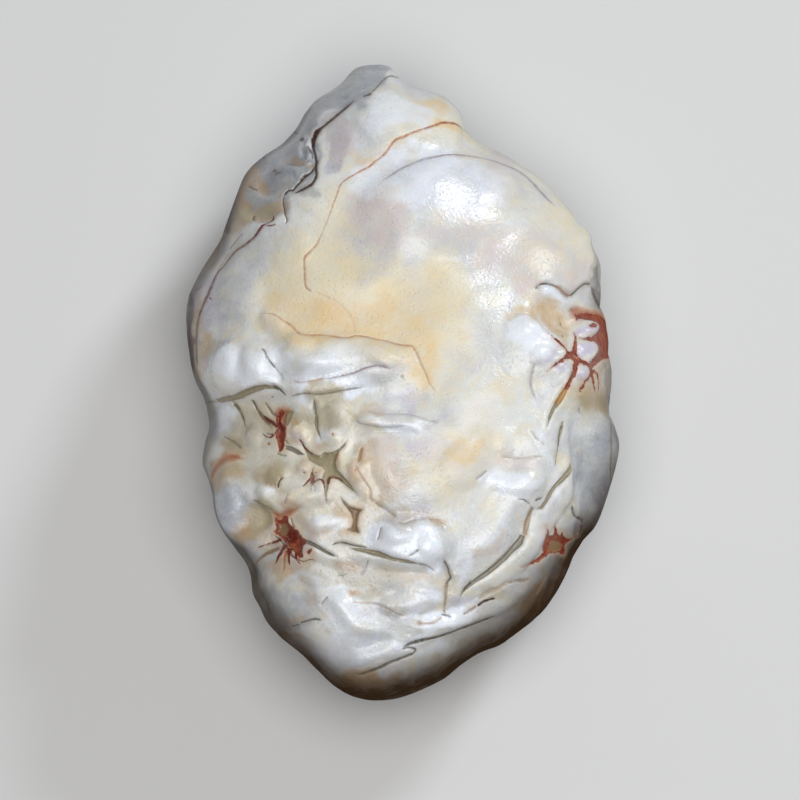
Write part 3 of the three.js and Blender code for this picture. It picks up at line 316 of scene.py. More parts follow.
# Creases and veins of the face. A crack is a dark brown joint, a vein orange brown, rust red
# brown, and the other kinds are named by the colour of the dirt in them.
FACE_CUTS = [
    # the joint along the grey shelf
    cut("crack", "40 7.85, 39.3 7.6, 38.8 7.6, 38.3 8, 37.9 8.5, 37.5 9.2, 37 9.8",
        0.07, 0.14, ink=0.7),
    cut("crack", "37.1 9.75, 36.9 9.95, 36.3 10.15", 0.11, 0.2),
    cut("crack", "35.6 10.3, 35 10.9, 34.2 11.6, 33.5 12.3, 32.8 12.9, 32.2 13.4, 31.8 14, "
        "31.5 14.8, 31.5 15.4, 31.65 16, 31.75 16.8, 31.65 17.3, 31.75 17.9, 31.6 18.4, "
        "31.3 18.9, 30.7 19.3, 29.8 19.7, 29.4 19.8", 0.13, 0.25, ends=(0.1, 0.1)),
    cut("crack", "31.55 17.1, 31.3 17.6, 30.7 18.1, 30.1 18.7, 29.6 19.2, 29.3 19.5, 28.9 19.45, "
        "28.6 19.7, 28.4 20.1", 0.11, 0.2, ink=0.9),
    cut("crack", "28.4 19.9, 28.35 20.6, 28.5 21.2, 28.6 21.9, 28.8 22.4, 28.65 22.9",
        0.07, 0.2, ink=0.6),
    cut("crack", "31 15.2, 31.3 15.9, 31.3 16.4", 0.1, 0.15, ink=0.5),
    cut("crack", "30 14.4, 30.25 14.25, 30.5 14.25", 0.17, 0.2),
    cut("crack", "27.2 17.5, 27.6 17.6, 27.8 17.8", 0.14, 0.12, ink=0.8),
    cut("crack", "24.6 18.7, 25.1 19, 25.5 19.1", 0.09, 0.12, ink=0.55),
    cut("crack", "26 15.8, 26.4 15.95", 0.07, 0.12, ink=0.7),
    cut("crack", "29.2 13.15, 29.5 13.3", 0.06, 0.12, ink=0.7),
    cut("crack", "25 21.6, 25.15 22.2, 25.4 22.2", 0.08, 0.12, ink=0.6),
    # the red vein at the left and its branches
    cut("rust", "27.15 21.7, 27.25 22.2, 26.8 22.6, 26.3 22.9, 25.8 23.7, 25.2 24.4, 24.6 24.9, "
        "23.8 25.4, 23.1 26, 22.4 26.8, 21.7 27.4, 21.4 28, 21.1 28.8, 20.8 29.7, 20.5 30.5, "
        "20.2 31.3, 20 32", 0.12, 0.18, ends=(0.05, 0.05)),
    cut("rust", "21.5 27.8, 21.1 28.8, 20.8 29.7, 20.5 30.5, 20.2 31.3",
        0.17, 0.1, ends=(0.3, 0.3)),
    cut("rust", "26.6 22.9, 27.2 22.95, 27.7 22.8", 0.07, 0.1, ink=0.8),
    cut("rust", "20.9 30, 21.3 30.3", 0.07, 0.05),
    cut("crack", "20.2 31.2, 20 32.4, 19.9 33.6, 19.9 35.2, 20 37", 0.12, 0.2, ink=0.6),
    cut("crack", "24.4 23.6, 23.8 24.3, 22.9 25.3", 0.05, 0.12, ink=0.6),
    cut("vein", "23 25.5, 22.2 26.4, 21.6 27.3", 0.07, 0.06, ink=0.6),
    cut("vein", "19.9 28.7, 19.6 29, 19.2 29.3", 0.06, 0.1, ink=0.7),
    # the long orange vein under the top lobe
    cut("vein", "47 13.2, 46 13, 45 13, 44 13.15, 43.1 13.5, 42.1 13.8, 41.1 14.1, 40.2 14.5, "
        "39.5 14.7, 38.9 15.3, 38.4 15.8, 37.6 16.4, 36.8 17, 36 17.4, 35.2 17.9, 34.6 18.3, "
        "34.1 18.8, 33.7 19.9, 33.3 20.9, 32.9 21.9, 32.3 23.3, 31.6 24.8",
        (0.13, 0.06), 0.04, ink=0.85, ends=(0.1, 0.6)),
    cut("rust", "46.6 13.1, 45.2 13, 43.8 13.2, 42.6 13.65, 41.4 14.05",
        0.05, 0.04, ink=0.6, ends=(0.3, 0.3)),
    cut("vein", "32.3 23.3, 31.6 24.8, 31 25.7, 30.6 26.3, 30.6 27.5, 30.7 28.7, 30.8 29.3, "
        "31.4 29.7", 0.09, 0.05, ink=0.75, ends=(0.3, 0.1)),
    cut("vein", "31.3 29.6, 32.2 29.9, 33.2 30.3, 34.2 30.9, 35 31.8, 35.4 32.7, 35.5 33.9",
        0.06, 0.03, ink=0.2),
    # the lavender crease under it
    cut("mauve", "38 18.8, 38.6 18.4, 39.3 18, 40.1 17.5, 41.1 17.1, 42.1 16.7, 43.1 16.5, "
        "44.5 16.2", 0.15, 0.04, ink=0.6, ends=(0.3, 0.2)),
    cut("mauve", "43.1 16.5, 44.5 16.2, 45.7 16.1, 46.8 16.2, 48 16.35, 49.6 16.85, 51.2 17.55, "
        "52.4 18.25, 53.6 19.3, 54.7 20.3, 55.5 21.1", 0.12, 0.06, ink=0.8, ends=(0.15, 0.2)),
    cut("vein", "43.1 16.5, 44.5 16.2, 45.7 16.1, 46.8 16.2", 0.05, 0.0, ink=0.6),
    # the brow line and the creases of the fold under it
    cut("vein", "26.2 31.8, 27.6 31.9, 28.4 32.4, 29.2 32.9, 29.8 33.5, 30.3 33.9, 32 33.9, "
        "33 33.95, 34 34.1, 35 34.1, 35.6 33.9, 36.5 34, 37.4 34.2, 38.5 34.4, 39.4 34.7, "
        "40.3 34.9, 41.1 35, 41.6 35.7, 42 36.6, 42.4 37.5, 42.6 38, 42.8 38.6, 43.5 39.5",
        0.07, 0.12, ink=0.7, ends=(0.12, 0.12)),
    cut("mauve", "32.6 38.3, 34 38.05, 35.5 37.7, 36.3 37.4, 37 37.2, 37.8 37.1, 38.5 37.25, "
        "39.1 37.5", 0.08, 0.12, ink=0.85, ends=(0.2, 0.1)),
    cut("vein", "29.6 38.4, 30.2 38.65, 31 38.55, 31.8 38.4, 32.8 38.2", 0.07, 0.15, ink=0.6),
    cut("olive", "29.2 39.9, 30 39.75, 31 39.7, 32 39.75, 33 39.6, 34 39.35, 35 39.15, 36.4 38.9",
        (0.09, 0.06), 0.12, ink=0.65),
    # the white block at the left
    cut("grey", "26.9 35.4, 27.25 35.8, 27.5 36.4, 27.8 36.9, 28.1 37.4", 0.07, 0.25, ink=0.8),
    cut("grey", "28 37.2, 28.5 37.8, 28.6 38.4", 0.05, 0.15, ink=0.5),
    cut("olive", "20.2 40.6, 20.8 40.5, 21.6 40.4", (0.1, 0.16), 0.15, ink=0.5, ends=(0.3, 0.0)),
    cut("grey", "27.7 38.9, 28.2 39.15, 28.6 39.6, 28.75 39.85",
        (0.12, 0.04), 0.2, ends=(0.0, 0.2)),
    # the slits of the socket
    arm("olive", "23.15 40.6, 23.45 41.2, 23.7 42, 23.95 42.9", 0.2, 0.25),
    cut("olive", "25.15 40.1, 25.25 40.9, 25.6 41.5, 26.1 42, 26.6 42.4",
        (0.13, 0.22), 0.28, ends=(0.1, 0.0)),
    cut("olive", "26.3 40.3, 26.55 40.8, 26.9 41.3, 27.3 41.6",
        (0.08, 0.18), 0.2, ink=0.8, ends=(0.15, 0.1)),
    cut("crack", "27.1 39.95, 27.4 39.85", 0.08, 0.1, ink=0.6),
    # the first red pit
    cut("rust", "25.9 41.6, 26.4 42, 27 42.3, 27.4 42.7", (0.18, 0.2), 0.1, ends=(0.2, 0.0)),
    arm("rust", "27.4 42.9, 27 43.4, 26.6 43.7, 26.1 43.6, 25.7 43.3", 0.14, 0.1),
    arm("rust", "27 43.4, 26.4 43.4, 26.2 43.2", 0.1, 0.1),
    cut("vein", "26.3 44.2, 26.5 44.5", 0.11, 0.1),
    cut("olive", "27.3 45.2, 27.9 45.5, 28.5 45.6", 0.07, 0.1, ink=0.7),
    arm("crack", "28.2 43.9, 28.4 44.2, 28.6 44.4", 0.07, 0.1, 0.7),
    # the second pit
    cut("rust", "29.7 43.8, 29.9 44.2, 30.2 44.7, 30.7 45.1, 31.2 45.4", 0.1, 0.12, ink=0.85),
    cut("rust", "30.6 48.8, 30.95 48.2, 31.2 48, 31.35 47.4, 31.45 48.5, 31.7 48.2, 32.1 48, "
        "32.5 48.2, 32.75 49", 0.09, 0.1, ends=(0.05, 0.05)),
    cut("rust", "31.4 47.4, 31.5 48, 31.3 48.5", 0.16, 0.1, ends=(0.2, 0.2)),
    cut("rust", "33 48.6, 33.1 47.9, 33.6 47.8, 34.1 47.95, 34.5 48.2",
        0.11, 0.1, ink=0.9, ends=(0.1, 0.2)),
    cut("rust", "30.5 47.3, 30.8 47.4", 0.08, 0.05, ink=0.7),
    cut("vein", "33.9 45.4, 33.6 46, 33.5 46.1", 0.13, 0.05, ink=0.9),
    cut("vein", "33.3 43.4, 33.4 43.8", 0.11, 0.08, ink=0.8),
    # the pink fold beside it
    cut("ochre", "36.25 44.8, 36.1 45.6, 35.9 46.4", (0.16, 0.2), 0.15, ink=0.9),
    cut("vein", "35.5 47, 35.9 47.4, 36.3 47.8", 0.12, 0.1, ink=0.5),
    cut("vein", "35.6 46.7, 36 47.4, 36.4 48, 36.8 48.6, 37.1 49.1, 37.1 49.9, 37.5 50.3",
        0.06, 0.2, ink=0.5),
    cut("grey", "37.5 50.2, 38.3 50.7, 39.1 51.2, 39.6 51.7", 0.12, 0.2, ink=0.4),
    # the fourth pit, the largest
    arm("rust", "28.1 53.9, 27.2 54.3, 26.3 54.7", 0.18, 0.12),
    arm("brown", "28 54.7, 27 55.3, 26 56, 25.3 56.8", 0.2, 0.2),
    arm("rust", "28.6 54.4, 28.2 55.3, 27.7 56.4", 0.26, 0.12),
    arm("rust", "29.1 54.7, 29.1 55.5, 29.2 56.5", 0.3, 0.12),
    arm("rust", "29.8 55.2, 29.9 55.8, 30.3 56.3", 0.2, 0.1),
    arm("vein", "28.8 54.6, 28.7 55.6, 28.6 57.2", 0.2, 0.1),
    arm("rust", "28.7 55, 29.6 55.6, 30.6 56, 31.2 55.8, 31.9 55.9", 0.1, 0.1),
    cut("grey", "27.4 53.5, 28 54, 28.6 54.6, 29.2 55.2, 29.6 55.5", 0.1, 0.15, ink=0.8),
    cut("grey", "29.2 51.7, 29.3 52.3, 29.6 52.8", 0.06, 0.12, ink=0.8),
    cut("mauve", "29.3 49.4, 29.2 50, 29 50.5", 0.06, 0.1, ink=0.8),
    cut("crack", "28.65 47.8, 28.35 48.3, 28.2 48.9", 0.09, 0.2, ink=0.85),
    cut("olive", "25.8 50, 26.6 50.3, 27.2 50.7, 27.7 51.1", 0.1, 0.12, ink=0.6),
    # the stain at the left edge
    cut("grey", "22.2 43.7, 23.2 44.3, 24 45", 0.08, 0.2, ink=0.5),
    # the long slit of the mouth
    cut("grey", "33.3 54.4, 33.8 54.2, 34.4 54.15, 35.2 54.35, 36 54.5, 36.8 54.6",
        0.08, 0.2, ends=(0.15, 0.2)),
    cut("olive", "41.6 56.2, 42.3 56.3, 42.9 56.6, 43.4 57",
        (0.1, 0.04), 0.15, ink=0.7, ends=(0.0, 0.3)),
    cut("grey", "38.15 52.6, 38 53.2, 37.8 53.9", 0.06, 0.22, ink=0.7),
    cut("grey", "39.6 52.2, 40.2 52.4, 41.2 52, 42.5 51.8, 44.2 52.3", 0.12, 0.2, ink=0.25),
    cut("grey", "40.6 55.5, 41.1 55.2, 41.6 54.8", 0.06, 0.12, ink=0.8),
    cut("grey", "44.1 55.8, 44.35 56.2, 44.6 56.7, 44.7 57.2, 44.85 57.5, 44.6 57.9, 44.3 58.2",
        0.085, 0.25, ink=0.85),
    cut("tan", "44.6 57.9, 44.4 58.6, 44.35 59.6, 44.3 60.6, 44.3 61.2",
        (0.2, 0.09), 0.2, ink=0.9, ends=(0.2, 0.1)),
    cut("vein", "41.4 61.95, 42.3 61.9, 43.2 61.7, 43.9 61.3", 0.05, 0.15, ink=0.7),
    cut("crack", "43.9 61.1, 44.3 61.2, 44.8 61.25", 0.08, 0.12, ink=0.6),
    # the slits of the right cheek
    cut("grey", "45.9 59.5, 46.05 59.1, 46.4 58.7, 47 58.1", (0.05, 0.14), 0.25, ends=(0.2, 0.0)),
    cut("grey", "51 49.9, 51.6 49.95, 52 50.2, 52.3 50.4", 0.05, 0.12, ink=0.8),
    cut("grey", "52.9 50.1, 53.2 49.9, 53.7 49.9", 0.08, 0.12, ink=0.9),
    arm("olive", "55.7 42.7, 55.4 43.7, 55.3 44.6, 55.1 45.6, 54.9 46.8", 0.1, 0.2),
    cut("olive", "55.9 42.3, 55.6 43.3, 55.4 44.2, 55.3 45", 0.11, 0.2),
    # the side of the star on the right
    cut("mauve", "57.6 34, 58 34.2, 58.5 34.2", 0.05, 0.1, ink=0.9),
    cut("crack", "55.7 33.95, 56 34.05", 0.1, 0.0, ink=0.7),
    cut("crack", "56.55 32.1, 56.6 32.6", 0.08, 0.0, ink=0.55),
    cut("crack", "56.3 37.9, 56.4 37.95", 0.06, 0.0, ink=0.8),
    cut("crack", "58.3 36.6, 58.5 36.6", 0.07, 0.0, ink=0.8),
    cut("crack", "57 39.4, 57.4 39.6", 0.07, 0.0, ink=0.7),
    # the notch above the star and the right rim
    cut("grey", "53.2 29.4, 53.5 29.1, 53.9 28.95, 54.4 28.95, 55.1 29.1",
        0.065, 0.22, ink=1.0, ends=(0.1, 0.1)),
    cut("vein", "54.9 29.05, 55.7 29.3, 56.3 29.55, 56.8 29.75, 57.2 29.8",
        0.07, 0.22, ink=0.9, ends=(0.1, 0.1)),
    cut("grey", "57.1 29.8, 57.45 29.6, 57.8 29.15, 58.2 28.8, 58.6 28.7, 58.9 28.8",
        0.08, 0.22, ink=1.0, ends=(0.1, 0.1)),
    cut("crack", "59 29, 59.3 29.6, 59.7 30.3, 60 30.8, 60.2 31.3", 0.12, 0.2, ink=0.6),
    cut("vein", "51 31.8, 52 31.9, 53 32.1", 0.05, 0.1, ink=0.35),
    cut("mauve", "52.9 36.9, 52.75 37.7, 52.7 38.5, 52.9 39.4, 53.2 40.2", 0.07, 0.16, ink=0.6),
    cut("grey", "52.5 43.2, 53 44.2, 53.8 44.8", 0.07, 0.14, ink=0.3),
    cut("tan", "49.8 45.8, 51.2 46, 52.4 45.85, 53.6 45.8", 0.06, 0.1, ink=0.45),
    cut("mauve", "48.4 47.2, 47.8 47.7, 47.2 48.1", 0.1, 0.2, ink=0.3),
    cut("crack", "60.9 42, 60.6 43.5, 60.6 45, 60.7 46.5, 60.9 47.8, 61 48.8",
        0.09, 0.15, ink=0.4),
    cut("grey", "56.8 50.6, 56.95 51.4, 57.3 51.8, 57.8 52, 57.9 52.5", 0.12, 0.2, ink=0.9),
    cut("crack", "57.8 52.4, 57.8 53.2, 57.6 54", 0.14, 0.25, ink=0.5),
    cut("grey", "57.7 41, 57.8 41.4, 58.1 41.6", 0.05, 0.1, ink=0.5),
    # the slits of the jaw and chin
    cut("brown", "46 61.1, 46.8 60.7, 47.4 60.3", 0.1, 0.15, ink=0.8),
    cut("crack", "47.4 60.4, 47.9 60, 48.4 59.75, 49.1 59.5", 0.07, 0.25),
    cut("tan", "47.6 59.8, 48.5 59, 49.3 58.6, 50 58.05, 50.6 57.9",
        0.13, 0.2, ink=0.9, ends=(0.2, 0.1)),
    cut("olive", "50.3 57.95, 51 57.8, 51.7 57.8, 52.4 57.6", 0.12, 0.2, ink=0.8, ends=(0.1, 0.3)),
    cut("brown", "54.6 57.2, 54.2 57.9, 53.7 58.7, 53.2 59.5",
        0.16, 0.2, ink=0.5, ends=(0.2, 0.3)),
    cut("grey", "40.2 64.3, 41 63.9, 42 63.6, 43 63.35, 44 63.1, 45 62.8, 46 62.45, 47 62.1, "
        "48 61.7, 49.2 61.2", 0.17, 0.3, (0.15, 0.0), ink=0.95, ends=(0.1, 0.1)),
    cut("grey", "35.5 67, 36.2 67, 37 66.7, 38 66.3, 39 65.8, 40 65.4, 40.8 65.1, 41.3 64.9",
        0.13, 0.28, (0.1, 0.0), ink=0.9, ends=(0.2, 0.05)),
    cut("grey", "40.7 65.15, 41.3 64.85, 41.4 64.5, 40.7 64.3, 40.1 64.5",
        0.09, 0.15, ink=0.8, ends=(0.1, 0.1)),
    cut("grey", "29.4 62.3, 30 62.1, 30.6 61.9", 0.08, 0.18, ink=0.8),
    cut("grey", "30.5 61.8, 31.2 61.6, 32 61.45, 32.6 61.6", 0.09, 0.18, ink=0.8),
    cut("vein", "35.4 59.9, 36.2 60, 37.2 60", 0.06, 0.1, ink=0.5),
    cut("mauve", "37 60, 38.2 60.3, 39.4 60.9, 40.4 61.3", 0.07, 0.12, ink=0.5),
    cut("mauve", "32.4 60.2, 32.7 59.8, 33.1 59.3", 0.05, 0.12, ink=0.8),
    cut("mauve", "36.9 55.8, 36.6 56.6, 36.1 57.4", 0.05, 0.1, ink=0.7),
    cut("olive", "33.8 57.3, 34.3 57.4, 34.7 57.2", 0.05, 0.08, ink=0.7),
    # the fine upper crease and the lower edge of the white roll in the middle
    cut("mauve", "36.6 41.3, 37.5 41.6, 38.5 41.7, 40 41.7, 41 41.8, 42 42.1, 43 42.4, 43.7 42.7",
        0.06, 0.16, ink=0.4),
    cut("grey", "35.5 42.2, 36.2 42.6, 37.5 42.9, 39 43, 40.5 42.9", 0.08, 0.15, ink=0.35),
]

# Stained pits and open slits of the face
FACE_BLOTS = [
    # the first red pit, its ochre upper corner and its olive side
    blot("amber", "27.2 41.2, 27.7 40.9, 28.6 40.95, 29 41.2, 28.6 41.7, 28.4 42.4, 28.2 43.2, "
        "27.8 43, 27.6 42.2, 27.3 41.7", 0.25, 0.4),
    blot("rust", "27.2 41.6, 27.6 41.3, 28 41, 28.3 41.2, 28 41.7, 27.8 42.2, 28.3 42.7, "
        "28.3 43.3, 28.1 44.2, 28 44.9, 27.8 45.1, 27.5 45.1, 27.4 44.4, 27.1 43.7, 27.2 43.2, "
        "27.4 42.9, 27.2 42.4", 0.35, 0.3),
    blot("deep", "27.3 42, 27.6 42.2, 28.1 42.8, 28 43.3, 27.6 42.9", 0.15, 0.2),
    blot("olive", "28.5 41.2, 29.3 41.2, 28.9 41.9, 28.5 42.6, 28.2 42.3", 0.1, 0.3),
    # the slit under the white block
    blot("olive", "21.6 40.2, 22.4 39.95, 23.6 39.8, 24.4 39.55, 25.3 39.25, 26.2 39, 27 38.85, "
        "27.8 38.95, 28.4 39.35, 27.8 39.2, 27 39.2, 26.2 39.45, 25.4 39.7, 24.5 40, 23.4 40.25, "
        "22.2 40.5, 21.7 40.45", 0.16, 0.2, 0.1),
    # the slit between the first and the second pit
    blot("grey", "28.2 44.5, 28.8 44.55, 29.5 44.9, 30.1 45.3, 30.3 45.4, 29.6 45.45, 28.9 45.1, "
        "28.3 44.9", 0.22, 0.15),
    # the olive slit above the second pit
    blot("olive", "31.55 40.2, 31.7 40.6, 31.72 41.4, 31.72 42.2, 31.68 42.8, 31.9 43.5, "
        "32 43.95, 31.7 43.4, 31.42 42.8, 31.3 42.3, 31.48 41.7, 31.42 41", 0.28, 0.15, 0.1),
    # the second pit, a star with curved sides
    blot("olive", "29.7 43.9, 30.2 44.5, 30.8 45.1, 31.4 45.4, 31.9 45.55, 32.4 45.2, 32.8 45.3, "
        "33.4 45.2, 34 44.9, 34.4 44.5, 34.7 44.2, 34.5 44.7, 34 45.2, 33.7 45.8, 33.6 46.4, "
        "33.8 47, 34.3 47.5, 34.9 48.2, 35.4 48.9, 35.8 49.4, 35.2 49, 34.5 48.4, 33.8 48, "
        "33.2 47.9, 33.05 48.6, 32.95 49.5, 32.85 50.3, 32.75 49.4, 32.6 48.5, 32.4 47.8, "
        "32.6 47.2, 32.4 46.8, 31.8 46.5, 31.2 46.2, 30.8 45.9, 30.5 45.3, 30.1 44.7",
        0.24, 0.25, 0.12),
    # the third, three-armed pit
    blot("brown", "34.1 49.7, 34.6 50.2, 35.1 50.65, 35.7 50.8, 36.3 50.85, 35.95 51.3, "
        "35.8 51.8, 35.75 52.5, 36 53.2, 35.5 53.1, 34.6 52.95, 35.2 52.7, 35.4 52, 35.15 51.3, "
        "34.8 50.8, 34.4 50.3", 0.4, 0.2, 0.1),
    # the fourth pit, the largest
    blot("amber", "27.5 51.2, 28.1 51.4, 28.7 51.1, 29.4 50.9, 30 50.8, 29.5 51.2, 29 51.6, "
        "28.6 52, 27.8 52", 0.2, 0.4),
    blot("rust", "27.6 51.7, 28 52, 28.6 51.6, 28.9 51.6, 28.9 52.2, 29.3 52.6, 29.9 53, "
        "30.2 53.6, 30.7 53.9, 30.7 54.2, 30.4 54.5, 30.4 55.1, 30.6 55.5, 30.2 55.7, 29.7 55.3, "
        "29.2 54.8, 28.7 54.4, 28.4 53.9, 28 53.6, 27.6 53.4, 27.4 53.1, 27.7 52.7, 27.5 52.2",
        0.45, 0.5),
    blot("brown", "28 52.4, 28.7 52.3, 28.9 52.9, 28.6 53.6, 28.1 53.5, 27.8 53", 0.1, 0.3),
    blot("deep", "29 52.9, 29.6 53, 29.8 53.6, 29.5 54.2, 28.9 54.3, 28.5 54, 28.7 53.4",
        0.2, 0.3),
    blot("deep", "28 53.7, 28.4 53.85, 28.9 54.5, 28.6 54.5", 0.2, 0.15),
    blot("rust", "30.9 54.9, 31.1 54.75, 31.5 54.7, 31.3 55.1, 31.1 55.3, 30.9 55.2", 0.1, 0.15),
    blot("grey", "30.5 53.85, 31.1 53.95, 31.8 54.25, 32.5 54.7, 33.2 55.1, 33.8 55.5, "
        "33.2 55.4, 32.4 55, 31.5 54.5, 30.8 54.25", 0.28, 0.15, 0.12),
    # the long slit of the mouth
    blot("olive", "35 54.65, 36 54.65, 37 54.8, 37.9 54.95, 38.6 55.25, 39.2 55.55, 40 55.7, "
        "40.8 55.85, 41.8 56.2, 40.8 56.15, 39.8 56, 39 55.85, 38.2 55.6, 37.4 55.35, 36.4 55.1, "
        "35.6 54.9", 0.2, 0.2, 0.1),
    # the long slit of the jaw and the tan fold above it
    blot("grey", "45.95 59.4, 46.5 58.6, 47.3 57.8, 48.2 57.1, 49.1 56.3, 50 55.4, 50.7 54.6, "
        "51.3 53.9, 51.6 53.4, 51.95 53.5, 51.6 54.3, 51 55, 50.3 55.8, 49.4 56.6, 48.5 57.4, "
        "47.5 58.1, 46.6 58.8", 0.15, 0.2, 0.1),
    blot("tan", "52.5 50.6, 52.9 50.8, 52.6 51.8, 52.4 52.6, 52.1 53.4, 51.8 53.5, 51.9 52.8, "
        "52.1 51.9, 52.3 51.2", 0.12, 0.2, 0.05),
    # the slit beside the right rim
    blot("olive", "53.1 50.95, 53.6 50.55, 53.9 50.1, 54.2 49.5, 54.6 48.8, 55 48.2, 55.5 47.6, "
        "56 46.9, 56.5 46.4, 56.4 47, 55.9 47.7, 55.4 48.25, 54.9 48.8, 54.5 49.5, 54.1 50.2, "
        "53.6 50.9", 0.15, 0.18, 0.1),
    # the star on the right
    blot("rust", "54.2 34.1, 54.8 34.45, 55.4 34.85, 56.1 35.3, 56.5 35.6, 56.9 35.4, 57 34.9, "
        "57.2 34.2, 57.45 33.4, 57.4 34.3, 57.4 35.1, 57.3 35.7, 57.3 36.1, 57.7 36.4, "
        "58.2 36.6, 58.4 36.8, 58.7 36.3, 59 35.8, 59.2 35.4, 59.3 35, 59.2 34.7, 58.9 34.5, "
        "58.6 34.5, 58.2 34.35, 57.7 34.15, 58.3 34.1, 58.9 34, 59.3 33.7, 59.55 33.2, "
        "59.4 32.6, 59 32.2, 58.6 31.95, 58.1 32, 58 31.5, 59 31.4, 60 31.8, 60.5 32.4, 61 33.2, "
        "61.3 34.6, 61.1 35.9, 60.6 36.1, 60.1 36.2, 59.5 36.6, 59 37, 58.7 37.2, 58.6 37.3, "
        "59 37.35, 59.45 37.65, 59.7 38.3, 59.75 39.5, 59.6 38.5, 59.3 37.8, 58.95 37.65, "
        "58.75 37.75, 58.9 38.4, 59.25 39.5, 58.75 38.9, 58.45 38.1, 58.2 38.1, 57.8 38.6, "
        "57.6 39.2, 57 39.5, 57.3 39, 57.7 38.3, 58.15 37.7, 58.3 37.3, 58 37, 57.6 36.95, "
        "57.2 36.8, 57 37.1, 56.95 37.6, 56.6 38.2, 56.2 38.9, 56 39.4, 55.6 39.4, 55.7 39, "
        "56.1 38.3, 56.4 37.7, 56.5 37.1, 56.7 36.6, 56.4 36.3, 56 36.4, 55.4 36.8, 54.6 37.2, "
        "54.1 37.6, 54.8 36.9, 55.5 36.3, 55.9 35.9, 56 35.6, 55.6 35.35, 54.9 34.8",
        0.3, 0.3, 0.05),
    blot("rust", "58.5 32.9, 58.9 32.7, 59.1 33, 58.9 33.2, 58.6 33.3", 0.08, 0.2),
    blot("amber", "57.4 31, 58.2 30.9, 59.2 31.2, 60.2 31.6, 60.8 32.8, 61.2 34.6, 61 36, "
        "60.4 36.2, 60.2 34.4, 59.6 32.4, 58.8 31.8, 58 31.9, 57.6 31.6", 0.1, 0.5),
    blot("ochre", "55.6 39.2, 56 39.2, 55.8 39.9, 55.5 40.6, 55.1 41.1, 54.9 40.6, 55.2 39.9",
        0.22, 0.16, 0.1),
    blot("olive", "54.95 40.6, 55.35 40.6, 54.9 41.4, 54.5 42.2, 54.1 43, 54.3 42, 54.6 41.3",
        0.22, 0.14, 0.1),
    # the small star in the lower right corner
    blot("rust", "53.7 52.4, 54.1 52.9, 54.4 53.4, 54.7 53.6, 54.95 53.5, 55.02 53, 54.9 52.2, "
        "55.2 52.9, 55.35 53.4, 55.6 53.6, 55.8 53.2, 56 53.6, 56.3 53.9, 56.7 53.95, 57.5 53.6, "
        "56.7 54.2, 56.3 54.5, 56.2 54.9, 56.4 55.1, 56.3 55.6, 56 55.5, 55.7 55.25, 55.2 55.35, "
        "54.6 55.25, 54.2 55.6, 53.6 56.05, 52.8 56.3, 51.5 56.5, 52.6 56.15, 53.4 55.7, "
        "53.9 55.2, 53.85 54.6, 53.95 53.9, 54.05 53.2", 0.35, 0.3, 0.05),
    blot("brown", "54.6 54.1, 55 54, 55.5 54.2, 56 54.5, 55.9 55.1, 55.2 55.25, 54.7 55.1, "
        "54.5 54.6", 0.2, 0.25),
    blot("ochre", "54 53.2, 54.3 53.3, 54.5 53.6, 54.2 54, 54 53.9", 0.0, 0.2),
    # the stained hollow at the left edge
    blot("amber", "22.8 45.6, 23.6 45.6, 24.3 46, 23.4 46.2, 22.7 46.6, 22.2 47.3, 21.6 48.2, "
        "21.6 47.4, 22.1 46.4", 0.3, 0.4),
]

